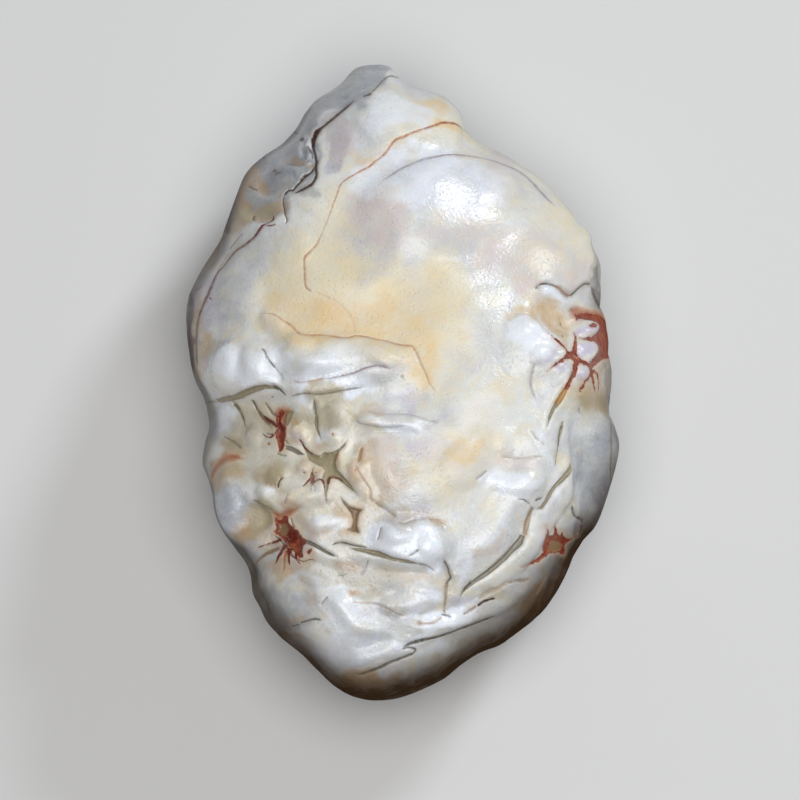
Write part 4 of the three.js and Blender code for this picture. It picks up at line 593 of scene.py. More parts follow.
# Clouds of colour in the face
FACE_CLOUDS = [
    cloud("cream", "27.5 27.5, 29.5 24.4, 32 21.8, 34.8 19.2, 37.2 17, 40.4 14.6, 44 12.2, "
        "47.5 12.8, 47.5 13.8, 44 14.2, 40.5 15.5, 37.5 17.5, 35 19.5, 33.8 22, 34.5 25.5, "
        "37 27, 41 26.5, 44.5 26.2, 46.5 29, 46.8 33, 45.5 37, 44 40, 42.5 39.5, 41 36.5, "
        "38 35.8, 34 36, 29.5 35.6, 26.5 33.5, 25.8 30.5", 2.2, 0.75),
    cloud("cream", "38 9.6, 41 9, 44.5 10.5, 47 13, 43 13.5, 39.4 13.2", 1.6, 0.3),
    cloud("cream", "42 48.6, 43 45, 45.6 42, 48 39.4, 49.6 39.6, 49.6 43, 48.2 46, 46.4 48.4, "
        "44 50", 1.8, 0.55),
    cloud("cream", "47.5 13.5, 50 15, 54 18, 57.5 22, 59.5 25, 57.5 25.5, 54 22.5, 49 20.5, "
        "46.5 18, 45.5 15", 1.2, 0.3),
    cloud("cream", "24 40.5, 30 40, 36 39.6, 37.5 44, 38.5 50, 36.5 54, 32 54, 27 52, 25.5 46",
        1.8, 0.35),
    cloud("ochre", "28.5 29.5, 31 30.5, 34 30, 38 29.6, 41 30.2, 43.2 31.5, 43.8 35, 43.6 38.6, "
        "42.2 38.5, 41.2 36, 38 34.9, 33 34.8, 29.5 34.6, 27.6 33, 27.4 31", 1.6, 0.3),
    cloud("tan", "52.9 30.4, 55.8 30.6, 56.6 31.2, 57.2 32.2, 56.6 33.4, 56.9 34.6, 56.2 35, "
        "54.2 33.6, 53 32.2", 0.5, 0.45),
    cloud("ochre", "53.2 30.8, 55.8 30.6, 58.2 30.9, 57.6 32, 56.8 33.4, 56.6 34.4, 54.4 33.4, "
        "53.4 32.2", 0.6, 0.6),
    # Slate on the grey shelf at the top left, at the left side and at the right rim: partly the
    # stone's blue grey, partly painted shade where the stone turns away from the light
    cloud("slate_and_shade", "34.5 6, 39.2 6.6, 38.2 8.2, 35.9 10.3, 33.4 12.2, 31.5 14, 31.2 17, "
        "30.2 19.2, 28.8 20.6, 28.6 22.5, 25.5 23, 22 23.5, 22.6 18, 27 14.4, 30 11.4, 31.5 9, "
        "33.5 7.4", 0.45, 0.7),
    cloud("slate_and_shade", "22.5 25.6, 25.5 24.8, 27.2 25.8, 26.3 28.5, 24.8 31.5, 23.7 33.6, 21.3 33.8, "
        "20.4 31.5, 21 28.5", 1.2, 0.22),
    cloud("slate_and_shade", "58.2 43.4, 60 42, 62 41, 62 43, 61.8 47, 60.8 51, 58.5 52.5, 57.9 50.5, "
        "57.7 47", 1.6, 0.65),
    *patches("lilac", "33.6 15.4 2 3.6 -30 0.3, 38.2 37.2 3.4 1.4 10 0.25, "
        "43.2 45.4 2.6 2.6 0 0.45, 42 59.9 2.6 1.2 6 0.5, 40.6 17.8 5.4 2.2 -20 0.45, "
        "49.6 17.2 5.4 1.1 28 0.5, 46 20 6 2.6 10 0.4, 58.6 33 1.1 1.05 0 0.9, "
        "58.6 35.4 1.1 1.1 0 0.8, 55.7 37.2 0.9 1.1 -20 0.8, 57.8 37.8 0.7 0.8 0 0.8, "
        "29.4 43.4 1.3 1.1 0 0.8, 53.8 36 2.2 1.8 0 0.4, 21 30 1.8 3.4 15 0.5, "
        "19.2 32 0.9 3.6 0 0.7, 41 40.4 2.4 1.2 0 0.5, 53 55 1 1.4 -30 0.6, "
        "45.2 60.2 1.2 2 0 0.4, 33 12.8 2.2 1 40 0.3"),
    # Slate ovals: partly the stone's blue grey, partly painted shade on the shelf, the left side
    # and the lower left
    *patches("slate_and_shade", "33.4 15.8 1.6 3.2 -30 0.3, 31.2 20.2 1.5 1.1 0 0.45, "
        "22.2 48.2 1.1 1.2 0 0.6, 34.4 13.4 3.4 1.4 58 0.4, 21.8 35.6 0.8 2.2 -15 0.5, "
        "26.4 55.6 2.4 4.4 25 0.45, 23.4 51.4 2.8 6.4 15 0.8, 36.4 65.4 3.4 1.2 0 0.5, "
        "29.4 60.2 3.2 2.8 30 0.4, 30 19.2 1.6 1.6 0 0.45, 28.4 17.7 1.9 1.4 -10 0.55, "
        "56.8 27 1.6 1.4 0 0.3, 41.6 29.4 2.2 1.3 -10 0.35, 37.6 63.9 3.6 1.3 0 0.35, "
        "23.6 43.4 2 1.2 0 0.25"),
    *patches("cream", "55.4 24.8 4.6 4.4 0 0.35"),
    *patches("rose", "57.4 27.4 3 2.6 0 0.4, 37.6 22.8 4.6 4 -20 0.55, 51 26 5.4 3 20 0.45, "
        "38 46.6 2.8 4.6 -10 0.6, 31.6 44.6 1.6 0.9 0 0.7, 55.6 28 1.8 1.2 0 0.4, "
        "52.6 29.2 1.6 1.4 0 0.6, 50.8 45.6 2.6 1.4 0 0.4, 31 53 2.4 0.8 0 0.5, "
        "53.2 53.4 1.4 2 -30 0.5, 46 23.6 5.4 2 0 0.3, 34.4 14 3.4 1.8 58 0.3"),
    *patches("ochre", "52.2 31.8 1.8 1.4 0 0.35, 33 31.8 3.2 2.2 -10 0.35, "
        "38.2 31.6 3 2.4 10 0.3, 34.6 34.2 7 0.9 4 0.4, 42.8 37.4 1.4 2.6 -20 0.35, "
        "42.6 10.6 2.3 1.8 0 0.7, 45.8 45.4 2.6 2 40 0.5, 43.6 13.2 4.4 0.7 -8 0.6, "
        "37.4 16.6 3.8 0.7 -32 0.3, 52.6 31.2 0.5 0.4 0 0.6"),
    *patches("tan", "25.2 52.2 1.4 1.4 0 0.4, 58 39.6 1.8 2 0 0.5, 60.2 35 1 4 0 0.5, "
        "32.6 46.8 2.8 2.6 0 0.4, 35.2 51.4 2.4 2.2 0 0.5, 28 42.6 2.4 2.6 0 0.4, "
        "28.8 53.4 2.8 2.8 0 0.35, 26.6 47 1.8 1.6 0 0.3, 24.4 18.6 1.3 4.6 -32 0.6, "
        "21.4 25.2 1 2.4 -32 0.4, 55.4 54.6 2.2 2.4 0 0.4, 33.6 61.8 0.8 0.6 0 0.5, "
        "29.8 60.6 1 0.8 0 0.4, 36.6 40.6 1.3 1.1 0 0.35, 28.9 41.2 1 0.8 0 0.8, "
        "30.6 58.8 0.8 1.4 0 0.35, 36.2 46.2 0.9 2.2 -10 0.4, 29.8 50.8 2 0.8 20 0.6, "
        "35.8 59.4 0.9 0.8 0 0.85, 22.9 46.8 1.6 2.4 -30 0.8, 28 47.8 1.8 1.5 0 0.9, "
        "25.4 52.4 1.6 1.9 0 0.85, 29.8 56.4 3.8 1.4 0 0.55, 26.6 21.6 2.6 1.6 0 0.6, "
        "40 48.2 1.8 2.2 0 0.3, 20.2 34 1.4 5 5 0.6, 43.8 52.1 1.8 1.1 0 0.6, "
        "38.2 50.4 1.6 1.6 0 0.4, 59.2 39.4 2.6 2.8 0 0.5, 24.6 22.6 2 1.4 -30 0.6, "
        "58.4 40.2 2.6 2 0 0.85, 34.6 55.8 1.8 1.2 0 0.5, 40 57.4 4.4 1.4 -6 0.3, "
        "48.4 54.4 0.5 2.4 -35 0.5, 29.8 16.4 1.6 0.8 10 0.7, 42 51.4 3.4 0.8 0 0.3, "
        "23.9 20 0.6 2.2 0 0.7, 36.5 67.8 5.4 1.6 0 0.8, 30.4 64.4 2.6 1.8 -45 0.6, "
        "52.4 60.2 3.6 1.9 45 0.85"),
    *patches("olive", "59.6 26.8 1.3 3.2 0 0.5, 25.6 44.8 4 4.6 0 0.5, 26.2 51.6 2.2 1.8 0 0.85, "
        "33.4 41.6 3.4 1.6 0 0.4, 28.4 47.2 1.9 1.5 0 0.75, 35.6 57.6 7 1.6 -6 0.3, "
        "31 40.4 5 0.8 6 0.5, 25.4 21.4 2.4 1.4 0 0.7, 27.4 19.6 1.6 1 0 0.4, "
        "56.6 50.4 1.6 2 0 0.4, 59.6 39 1.2 2.4 0 0.35, 58.4 40.4 3.4 3 0 0.45, "
        "25.4 56.8 1.6 3.2 20 0.4, 37.2 60 1.7 1.1 0 0.6, 51 58.6 2.6 1 30 0.35, "
        "46 64.6 5 1.6 20 0.4"),
    # Pearl ovals: the stone's bluish white, with painted highlight on the dome, the brow, the
    # folds and the mouth knob
    *patches("pearl_and_highlight", "24.8 37 4.2 3 0 0.8, 40.6 54 4.2 2.2 -8 0.9, 45.4 19.6 6.6 3.4 8 0.5, "
        "39.2 42.3 4.2 0.9 -5 0.9, 36 64.2 8 2.6 4 0.5, 41.4 63 3.2 1 14 0.9, "
        "33.8 38.5 5.2 0.9 8 0.95, 33.6 37.6 6 1.2 6 0.5, 42 60.2 2.6 1 6 0.7, "
        "22.4 42.4 1.6 2.4 8 0.6, 40.4 19.4 4.6 2.4 -24 0.4, 24 50.6 1.2 3.4 10 0.3, "
        "52.8 34.2 2.2 3 0 0.8, 34.6 60.8 3.6 2.2 -40 0.5, 48.6 53.2 1.4 4.6 -38 0.25, "
        "44.4 62.2 4.2 0.9 14 0.8, 50.6 48.3 3.4 1.7 0 0.8, 54.4 46.6 1.2 4.4 4 0.4, "
        "42.4 17.4 5 1.8 -8 0.8, 32.6 52.4 2.6 0.8 10 0.7, 39.4 12.4 4 3 -20 0.55, "
        "37.2 18.6 2.6 2.4 -30 0.6, 30.4 15 0.6 2 -5 0.7, 43.2 55.6 1.8 1.8 0 0.8, "
        "28.4 36.4 1.5 1.2 0 0.5, 34.4 36.4 3 0.9 0 0.4, 42.6 64.6 2.4 0.8 10 0.5, "
        "55.2 30 2.2 0.5 -10 0.8, 32.8 43.8 1.3 0.9 -10 0.7, 27.2 49.2 1.4 0.8 10 0.6, "
        "46.6 57 1.2 1.8 -30 0.6, 48 42 3.4 3 0 0.3"),
    # Umber ovals: dark specks of the stone, and painted shade at the left and right edges and in
    # the notch at the lower right
    *patches("umber_and_shade", "18.9 34.2 0.9 4.6 4 0.6, 60 29 0.6 2.2 -5 0.5, 61.3 37 0.7 6 0 0.4, "
        "22.6 20.4 0.7 4 -28 0.35, 26.9 15.2 0.6 2.4 -50 0.25, 30.3 15.6 0.4 0.35 0 0.45, "
        "27.5 17.6 0.35 0.25 0 0.7, 57.7 53.6 0.4 1.6 0 0.4, 58.8 52.4 1.4 2.4 20 0.35"),
]

# The back, on the same plan seen through the stone
BACK_SWELLS = swells(
    "41 58 11 8 0 0.7, 45 18.5 8 6.5 20 -1.1, 27 33 6.5 9 10 0.8, 54.5 43 5 8 -10 -0.9, "
    "27.5 49 5 4.5 -30 -0.8, 35 14 5 4 0 0.6, 31 22 3 2.2 30 0.35, 50 26 3.4 2.6 0 0.4, "
    "56 33 2.4 3.6 0 0.4, 24.6 45.4 2 3 20 0.35, 33 62.4 3 2 -20 -0.4, 49.6 61 3 2 30 0.35",
)
BACK_LEDGES = [
    ledge("39.9 7.6, 41 10.5, 41.2 13.6, 43.6 17.2, 44.2 21.6, 47.6 26, 48.6 30.6",
        0.35, 0.4, (3.0, 2.6), 0.4),
    ledge("19.6 38.6, 22.2 40.2, 25.2 40, 28.4 42.2, 32 42.4", 0.5, 0.5, (2.6, 2.6), 0.5),
    ledge("60.9 41.4, 58.4 43.8, 57.6 47.4, 54.2 50.6, 52 55, 47.6 57.6",
        0.5, 0.5, (2.6, 2.2), 0.5),
    ledge("25.9 59.4, 29 58.4, 32.6 59.8, 36.8 58.6, 40.6 60.4", 0.4, 0.45, (2.4, 2.4), 0.5),
]
BACK_CUTS = [
    cut("crack", "39.9 7.6, 41 10.5, 41.2 13.6, 43.6 17.2, 44.2 21.6, 47.6 26, 48.6 30.6",
        0.11, 0.25, ends=(0.1, 0.3)),
    cut("vein", "47 13.2, 48.4 16.4, 50.6 18.2, 52 21.6, 55.4 24.4, 56 28.4",
        0.16, 0.12, ends=(0.1, 0.3)),
    cut("rust", "20 32, 21.6 30.8, 23.4 30.4, 25.6 28.6, 26.4 26.4", 0.13, 0.2, ends=(0.1, 0.3)),
    cut("olive", "20.6 39.6, 22.2 40.2, 25.2 40, 28.4 42.2", 0.24, 0.3),
    cut("grey", "58.4 43.8, 57.6 47.4, 54.2 50.6, 52 55", 0.2, 0.3),
    cut("grey", "29 58.4, 32.6 59.8, 36.8 58.6", 0.17, 0.25),
    arm("rust", "52.8 21.4, 53.8 20.4, 54.8 20.2", 0.25, 0.15),
    arm("rust", "52.4 21.6, 51.4 22.6, 50 22.8", 0.25, 0.15),
    arm("rust", "52.7 21.9, 53.2 22.8, 53.2 23.6", 0.22, 0.15),
    arm("rust", "45.2 64.2, 44 63.6, 42.8 63.8", 0.22, 0.15),
    arm("rust", "45.6 64.2, 46.8 63.4, 47.4 62.4", 0.2, 0.15),
    cut("vein", "33 22, 35.4 25.6, 34.8 29.6", 0.08, 0.06, ink=0.6),
]
BACK_BLOTS = [
    blot("rust", "51.9 21.2, 52.6 20.7, 53.3 21.1, 53.4 21.9, 52.8 22.4, 52.1 22.1", 0.45, 0.5),
    blot("deep", "52.3 21.3, 52.8 21.2, 53 21.7, 52.6 21.9", 0.15, 0.2),
    blot("rust", "44.6 64, 45.3 63.6, 46.1 64, 46 64.6, 45.1 64.7", 0.4, 0.4),
    blot("rust", "22.8 29.8, 23.5 29.2, 24 30, 23.8 31.2, 23.1 31.4", 0.4, 0.4),
]
BACK_CLOUDS = [
    *patches("cream", "36 30 12 12 0 0.7, 44 56 9 7 0 0.6"),
    *patches("ochre", "38 24 5 4 20 0.5, 49 58 4 3 0 0.5"),
    *patches("tan", "31 40 6 4 -20 0.5"),
    *patches("slate_and_shade", "49 36 7 9 0 0.5, 27 24 4 5 0 0.5, 34 52 6 4 10 0.4"),
    *patches("olive", "26 50 5 5 0 0.5"),
]

CUT_KINDS = ("crack", "vein", "rust", "olive", "grey", "mauve", "tan", "ochre", "brown")
BLOT_SETS = {
    "stains": ("rust", "deep", "amber"),
    "floors": ("olive", "brown", "grey"),
    "pale floors": ("tan", "ochre"),
}
# The slate clouds are in places painted shade, the pearl clouds painted highlight and the umber
# clouds painted shade at the edges
CLOUD_SETS = {
    "warm clouds": ("cream", "ochre", "tan"),
    "cool clouds": ("lilac", "slate_and_shade", "pearl_and_highlight"),
    "dull clouds": ("rose", "olive", "umber_and_shade"),
}


def smooth(low, high, value):
    t = np.clip((value - low) / (high - low), 0.0, 1.0)
    return t * t * (3.0 - 2.0 * t)


def on_sight(point):
    """A plan point as (right, up) from the plan's centre."""
    return np.array([point[0] - PLAN_CENTRE[0], PLAN_CENTRE[1] - point[1]])


def traced(path, closed=False, step=0.35):
    """A smooth line through plan points, cut into short straight pieces."""
    bends = np.array([on_sight(p) for p in path])
    if closed:
        bends = np.vstack([bends[-1], bends, bends[0], bends[1]])
    else:
        bends = np.vstack([2 * bends[0] - bends[1], bends, 2 * bends[-1] - bends[-2]])
    gaps = np.maximum(np.linalg.norm(np.diff(bends, axis=0), axis=1), 1e-6)
    pieces = []
    for i in range(1, len(bends) - 2):
        before = (bends[i + 1] - bends[i - 1]) / (gaps[i - 1] + gaps[i]) * gaps[i]
        after = (bends[i + 2] - bends[i]) / (gaps[i] + gaps[i + 1]) * gaps[i]
        t = np.linspace(0, 1, max(2, math.ceil(gaps[i] / step)), endpoint=False)[:, None]
        pieces.append(
            (2 * t**3 - 3 * t**2 + 1) * bends[i]
            + (t**3 - 2 * t**2 + t) * before
            + (3 * t**2 - 2 * t**3) * bends[i + 1]
            + (t**3 - t**2) * after
        )
    if not closed:
        pieces.append(bends[-2:-1])
    return np.vstack(pieces)


def nearest(line, x, y):
    """For each point: distance to the line, the side it is on (+1 left) and how far along."""
    start = line[:-1]
    run = line[1:] - start
    length = np.maximum((run**2).sum(axis=1), 1e-12)
    dx = x[:, None] - start[:, 0]
    dy = y[:, None] - start[:, 1]
    share = np.clip((dx * run[:, 0] + dy * run[:, 1]) / length, 0.0, 1.0)
    away = np.hypot(dx - share * run[:, 0], dy - share * run[:, 1])
    best = away.argmin(axis=1)
    rows = np.arange(len(x))
    side = np.sign(run[best, 0] * dy[rows, best] - run[best, 1] * dx[rows, best])
    side[side == 0] = 1.0
    return away[rows, best], side, (best + share[rows, best]) / len(run)


def inside(line, x, y):
    """How far inside a closed line each point lies. It is negative outside."""
    away = nearest(line, x, y)[0]
    ax, ay = line[:-1].T
    bx, by = line[1:].T
    rise = np.where(by == ay, 1e-9, by - ay)
    astride = (ay > y[:, None]) != (by > y[:, None])
    crossing = ax + (y[:, None] - ay) / rise * (bx - ax)
    odd = (astride & (x[:, None] < crossing)).sum(axis=1) % 2 == 1
    return np.where(odd, away, -away)


def near_box(mark, x, y, reach=None):
    """The points that a mark's effect can reach."""
    reach = mark.reach if reach is None else reach
    low = mark.line.min(axis=0) - reach
    high = mark.line.max(axis=0) + reach
    return np.nonzero((x > low[0]) & (x < high[0]) & (y > low[1]) & (y < high[1]))[0]


def ends_fade(along, ends):
    first = smooth(0, ends[0], along) if ends[0] > 0 else 1.0
    last = smooth(0, ends[1], 1 - along) if ends[1] > 0 else 1.0
    return first * last * np.ones_like(along)


def half_width(mark, along):
    start, end = mark.halves
    return (start + (end - start) * along) * np.sqrt(ends_fade(along, mark.ends))


def ripples(x, y, size, seed):
    """A smooth random field between about -1 and 1, with features about size apart."""
    total = np.zeros(len(x))
    for i in range(8):
        turn = 2.39996 * i + seed
        pace = 2 * math.pi / size * (0.6 + 0.13 * i)
        total += np.sin(pace * (x * math.cos(turn) + y * math.sin(turn)) + 1.7 * i * seed + seed)
    return total / 3.2


class Side:
    """The marks of one side of the stone."""

    def __init__(self, swells, rolls, ledges, cuts, blots, clouds):
        self.swells = swells
        self.rolls = rolls
        self.ledges = ledges
        self.cuts = cuts
        self.blots = blots
        self.clouds = clouds
        for mark in [*rolls, *ledges, *cuts]:
            mark.line = traced(mark.path)
        for mark in [*blots, *(c for c in clouds if hasattr(c, "outline"))]:
            mark.line = np.array([on_sight(p) for p in [*mark.outline, mark.outline[0]]])

    def height(self, x, y):
        """The broad relief and the sharp relief, both in millimetres, and the painted shade in and
        beside the cuts and blots.
        """
        broad = np.zeros_like(x)
        sharp = np.zeros_like(x)
        deep = np.zeros_like(x)
        hollow_shade = np.zeros_like(x)
        for mark in self.swells:
            broad += mark.rise * self.hump(mark, x, y)
        for mark in self.rolls:
            at = near_box(mark, x, y)
            away, _, along = nearest(mark.line, x[at], y[at])
            over = np.maximum(0.0, 1 - (away / mark.half) ** 2)
            broad[at] += mark.rise * over**mark.soft * ends_fade(along, mark.ends)
        for mark in self.ledges:
            at = near_box(mark, x, y)
            away, side, along = nearest(mark.line, x[at], y[at])
            signed = away * side
            fade = (1 - smooth(0.5 * mark.reach, mark.reach, away)) * ends_fade(along, mark.ends)
            high = mark.up * np.exp(-np.maximum(signed, 0) / mark.sides[0])
            low = -mark.down * np.exp(np.minimum(signed, 0) / mark.sides[1])
            share = smooth(-mark.edge, mark.edge, signed)
            sharp[at] += fade * (low + (high - low) * share)
        for mark in self.cuts:
            at = near_box(mark, x, y)
            away, side, along = nearest(mark.line, x[at], y[at])
            half = half_width(mark, along)
            fade = half / max(mark.halves)
            lip = np.where(side > 0, mark.lips[0], mark.lips[1])
            crest, spread = CUT_LIP
            sharp[at] += lip * fade * np.exp(-(((away - half - crest) / spread) ** 2))
            dip = mark.depth * fade * (1 - smooth(0.4 * half, half + 0.12, away))
            deep[at] = np.maximum(deep[at], dip)
            # Painted shade in and beside a cut, darker where the cut is deeper
            shade = mark.ink * fade * np.exp(-((away / (half + 0.2)) ** 2))
            hollow_shade[at] = np.maximum(hollow_shade[at], shade * min(1.0, mark.depth / 0.25))
        for mark in self.blots:
            at = near_box(mark, x, y)
            depth = inside(mark.line, x[at], y[at])
            crest, spread = BLOT_LIP
            sharp[at] += mark.lip * np.exp(-(((depth + crest) / spread) ** 2))
            dip = mark.depth * smooth(-0.06, mark.wall, depth)
            deep[at] = np.maximum(deep[at], dip)
            # Painted shade in a blot and just outside its edge
            hollow_shade[at] = np.maximum(hollow_shade[at], 0.5 * smooth(-0.25, 0.05, depth))
        return broad, sharp - deep, hollow_shade

    @staticmethod
    def hump(mark, x, y):
        centre = on_sight(mark.at)
        turn = math.radians(mark.turn)
        c, s = math.cos(turn), math.sin(turn)
        a = ((x - centre[0]) * c + (y - centre[1]) * s) / mark.radii[0]
        b = ((y - centre[1]) * c - (x - centre[0]) * s) / mark.radii[1]
        over = np.maximum(0.0, 1 - a * a - b * b)
        return over * over * (3 - 2 * over)

    def spacing(self, x, y, fine, open_edge, band):
        """How long an edge of the net may be at each point."""
        away = np.full(len(x), 9.0)
        for mark in self.cuts:
            at = near_box(mark, x, y)
            distance = nearest(mark.line, x[at], y[at])[0] - max(mark.halves)
            away[at] = np.minimum(away[at], distance)
        for mark in self.blots:
            at = near_box(mark, x, y)
            distance = np.abs(inside(mark.line, x[at], y[at])) - 0.08
            away[at] = np.minimum(away[at], distance)
        for mark in self.ledges:
            at = near_box(mark, x, y)
            distance = nearest(mark.line, x[at], y[at])[0] + 0.1
            away[at] = np.minimum(away[at], distance)
        return fine + (open_edge - fine) * smooth(0.0, band, away)

    def blot_depth(self, kind, x, y):
        """How far inside a blot of a kind each point lies, in millimetres, down to -1 outside."""
        found = np.full(len(x), -1.0)
        for mark in self.blots:
            if mark.kind == kind:
                at = near_box(mark, x, y)
                found[at] = np.maximum(found[at], inside(mark.line, x[at], y[at]))
        return found

    def cloud_strength(self, tint, x, y):
        """How much of a colour's clouds covers each point."""
        clear = np.ones(len(x))
        for mark in self.clouds:
            if mark.tint != tint:
                continue
            if hasattr(mark, "outline"):
                at = near_box(mark, x, y, 2 * mark.soft)
                share = smooth(-mark.soft, mark.soft, inside(mark.line, x[at], y[at]))
                clear[at] *= 1 - mark.ink * share
            else:
                share = smooth(0.0, PATCH_EDGE, self.hump(mark, x, y))
                clear *= 1 - mark.ink * share
        return 1 - clear


FACE = Side(FACE_SWELLS, FACE_ROLLS, FACE_LEDGES, FACE_CUTS, FACE_BLOTS, FACE_CLOUDS)
BACK = Side(BACK_SWELLS, [], BACK_LEDGES, BACK_CUTS, BACK_BLOTS, BACK_CLOUDS)


def rim_tables():
    """The outline's radius round a turn, as it is and with its short bumps averaged away."""
    line = traced(OUTLINE, closed=True, step=0.1)
    angle = np.arctan2(line[:, 1], line[:, 0])
    order = np.argsort(angle)
    turn = np.linspace(-math.pi, math.pi, RIM_STEPS + 1)[:-1]
    radius = np.hypot(line[:, 0], line[:, 1])[order]
    true = np.interp(turn, angle[order], radius, period=2 * math.pi)
    reach = np.arange(-2 * RIM_EVENING, 2 * RIM_EVENING + 1)
    weight = np.exp(-((reach / RIM_EVENING) ** 2))
    even = sum(w * np.roll(true, k) for k, w in zip(reach, weight)) / weight.sum()
    return turn, true, even


TURN, TRUE_RIM, EVEN_RIM = rim_tables()


def unit(vectors):
    return vectors / np.maximum(np.linalg.norm(vectors, axis=1), 1e-12)[:, None]


class Body:
    """The worn body before its relief."""

    def __init__(self, sizes):
        self.tilt = sizes.look_tilt
        self.face_height = sizes.face_height / MM
        self.back_depth = sizes.back_depth / MM

    def sight(self, direction):
        """Directions from the centre to right, up and out along the line of sight, the share
        of the way out to the widest line, and the angle round it."""
        share = np.minimum(1.0, np.hypot(direction[:, 0], direction[:, 1]))
        angle = np.arctan2(direction[:, 1], direction[:, 0])
        even = np.interp(angle, TURN, EVEN_RIM, period=2 * math.pi)
        true = np.interp(angle, TURN, TRUE_RIM, period=2 * math.pi)
        radius = even + (true - even) * smooth(RIM_DETAIL_FROM, 1.0, share)
        face = direction[:, 2] >= 0
        fullness = np.where(face, FACE_FULLNESS, BACK_FULLNESS)
        height = (1 - share**fullness) ** (1 / fullness)
        out = np.where(face, self.face_height, -self.back_depth) * height
        return radius * share * np.cos(angle), radius * share * np.sin(angle), out, share, angle

    def point(self, direction):
        """Directions from the centre to points of the frame, in millimetres."""
        across, up, out, share, angle = self.sight(direction)
        wave = sum(lift * np.sin((i + 2) * angle + i) for i, lift in enumerate(RIM_LIFTS))
        lean = np.maximum(out, 0) + wave * share**3
        return np.stack(
            [
                across,
                up / math.cos(self.tilt) - lean * math.sin(self.tilt),
                np.minimum(out, 0) + lean * math.cos(self.tilt),
            ],
            axis=1,
        )

    def normal(self, direction):
        """Directions from the centre to the body's outward directions there."""
        side = np.stack([-direction[:, 1], direction[:, 0], np.zeros(len(direction))], axis=1)
        side[np.linalg.norm(side, axis=1) < 1e-6] = (1, 0, 0)
        side = unit(side)
        rise = np.cross(direction, side)
        here = self.point(direction)
        right = self.point(unit(direction + SLOPE_STEP * side)) - here
        over = self.point(unit(direction + SLOPE_STEP * rise)) - here
        return unit(np.cross(right, over))


def wave_height(point, height=0.075, length=8.5):
    """Low waves that wind and sand leave all over the stone."""
    total = np.zeros(len(point))
    for i in range(9):
        turn = 2.4 * i + 0.7
        lift = ((i * 0.618) % 1) * 2 - 1
        flat = math.sqrt(1 - lift * lift)
        pace = 2 * math.pi / length * (0.6 + 0.8 * i / 9)
        along = np.array([flat * math.cos(turn), flat * math.sin(turn), lift])
        total += np.sin(pace * (point @ along) + 1.7 * i)
    return height * total


def refined(direction, faces, body, sizes):
    """One round of splitting the long edges. The longest edge of a touched face is split too."""
    count = len(direction)
    ends = faces[:, [[0, 1], [1, 2], [2, 0]]].reshape(-1, 2)
    ends = np.sort(ends, axis=1)
    keys, owner = np.unique(ends[:, 0] * count + ends[:, 1], return_inverse=True)
    owner = owner.reshape(-1, 3)
    first, second = keys // count, keys % count
    place = body.point(direction)
    length = np.linalg.norm(place[first] - place[second], axis=1)
    middle = unit(direction[first] + direction[second])
    across, up, *_ = body.sight(middle)
    fine, open_edge, back_edge = (
        size / MM for size in (sizes.fine_edge, sizes.open_edge, sizes.back_edge)
    )
    face = middle[:, 2] > FACE_NET_FROM
    wanted = np.empty(len(keys))
    wanted[face] = FACE.spacing(across[face], up[face], fine, open_edge, 0.45)
    back = ~face
    wanted[back] = BACK.spacing(across[back], up[back], 2 * fine, back_edge, 0.6)
    split = length > SPLIT_ABOVE * wanted
    longest = owner[np.arange(len(faces)), length[owner].argmax(axis=1)]
    while True:
        touched = split[owner].any(axis=1)
        if split[longest[touched]].all():
            break
        split[longest[touched]] = True
    added = np.full(len(keys), -1)
    added[split] = count + np.arange(split.sum())
    mids = added[owner]
    corner = faces.copy()
    code = (mids >= 0) @ np.array([1, 2, 4])
    for pattern, shift in ((2, 1), (4, 2), (6, 1), (5, 2)):
        rows = code == pattern
        corner[rows] = np.roll(corner[rows], -shift, axis=1)
        mids[rows] = np.roll(mids[rows], -shift, axis=1)
    a, b, c = corner.T
    ab, bc, ca = mids.T
    direction = np.vstack([direction, middle[split]])
    place = body.point(direction)
    one = (mids >= 0).sum(axis=1) == 1
    two = (mids >= 0).sum(axis=1) == 2
    gap = np.linalg.norm(place[ab[two]] - place[c[two]], axis=1)
    near_c = np.zeros(len(faces), bool)
    near_c[two] = gap < np.linalg.norm(place[a[two]] - place[bc[two]], axis=1)
    far_c = two & ~near_c
    parts = [
        np.stack([a, b, c], 1)[code == 0],
        np.stack([a, ab, c], 1)[one],
        np.stack([ab, b, c], 1)[one],
        np.stack([ab, b, bc], 1)[two],
        np.stack([ab, bc, c], 1)[near_c],
        np.stack([a, ab, c], 1)[near_c],
        np.stack([a, ab, bc], 1)[far_c],
        np.stack([a, bc, c], 1)[far_c],
        np.stack([a, ab, ca], 1)[code == 7],
        np.stack([ab, b, bc], 1)[code == 7],
        np.stack([ca, bc, c], 1)[code == 7],
        np.stack([ab, bc, ca], 1)[code == 7],
    ]
    return direction, np.vstack(parts)


def ball():
    """A coarse, even net of directions."""
    mesh = bpy.data.meshes.new("ball")
    net = bmesh.new()
    bmesh.ops.create_icosphere(net, subdivisions=5, radius=1.0)
    net.to_mesh(mesh)
    net.free()
    place = np.empty(len(mesh.vertices) * 3)
    mesh.vertices.foreach_get("co", place)
    corners = np.empty(len(mesh.polygons) * 3, dtype=np.int64)
    mesh.polygons.foreach_get("vertices", corners)
    bpy.data.meshes.remove(mesh)
    return unit(place.reshape(-1, 3)), corners.reshape(-1, 3)


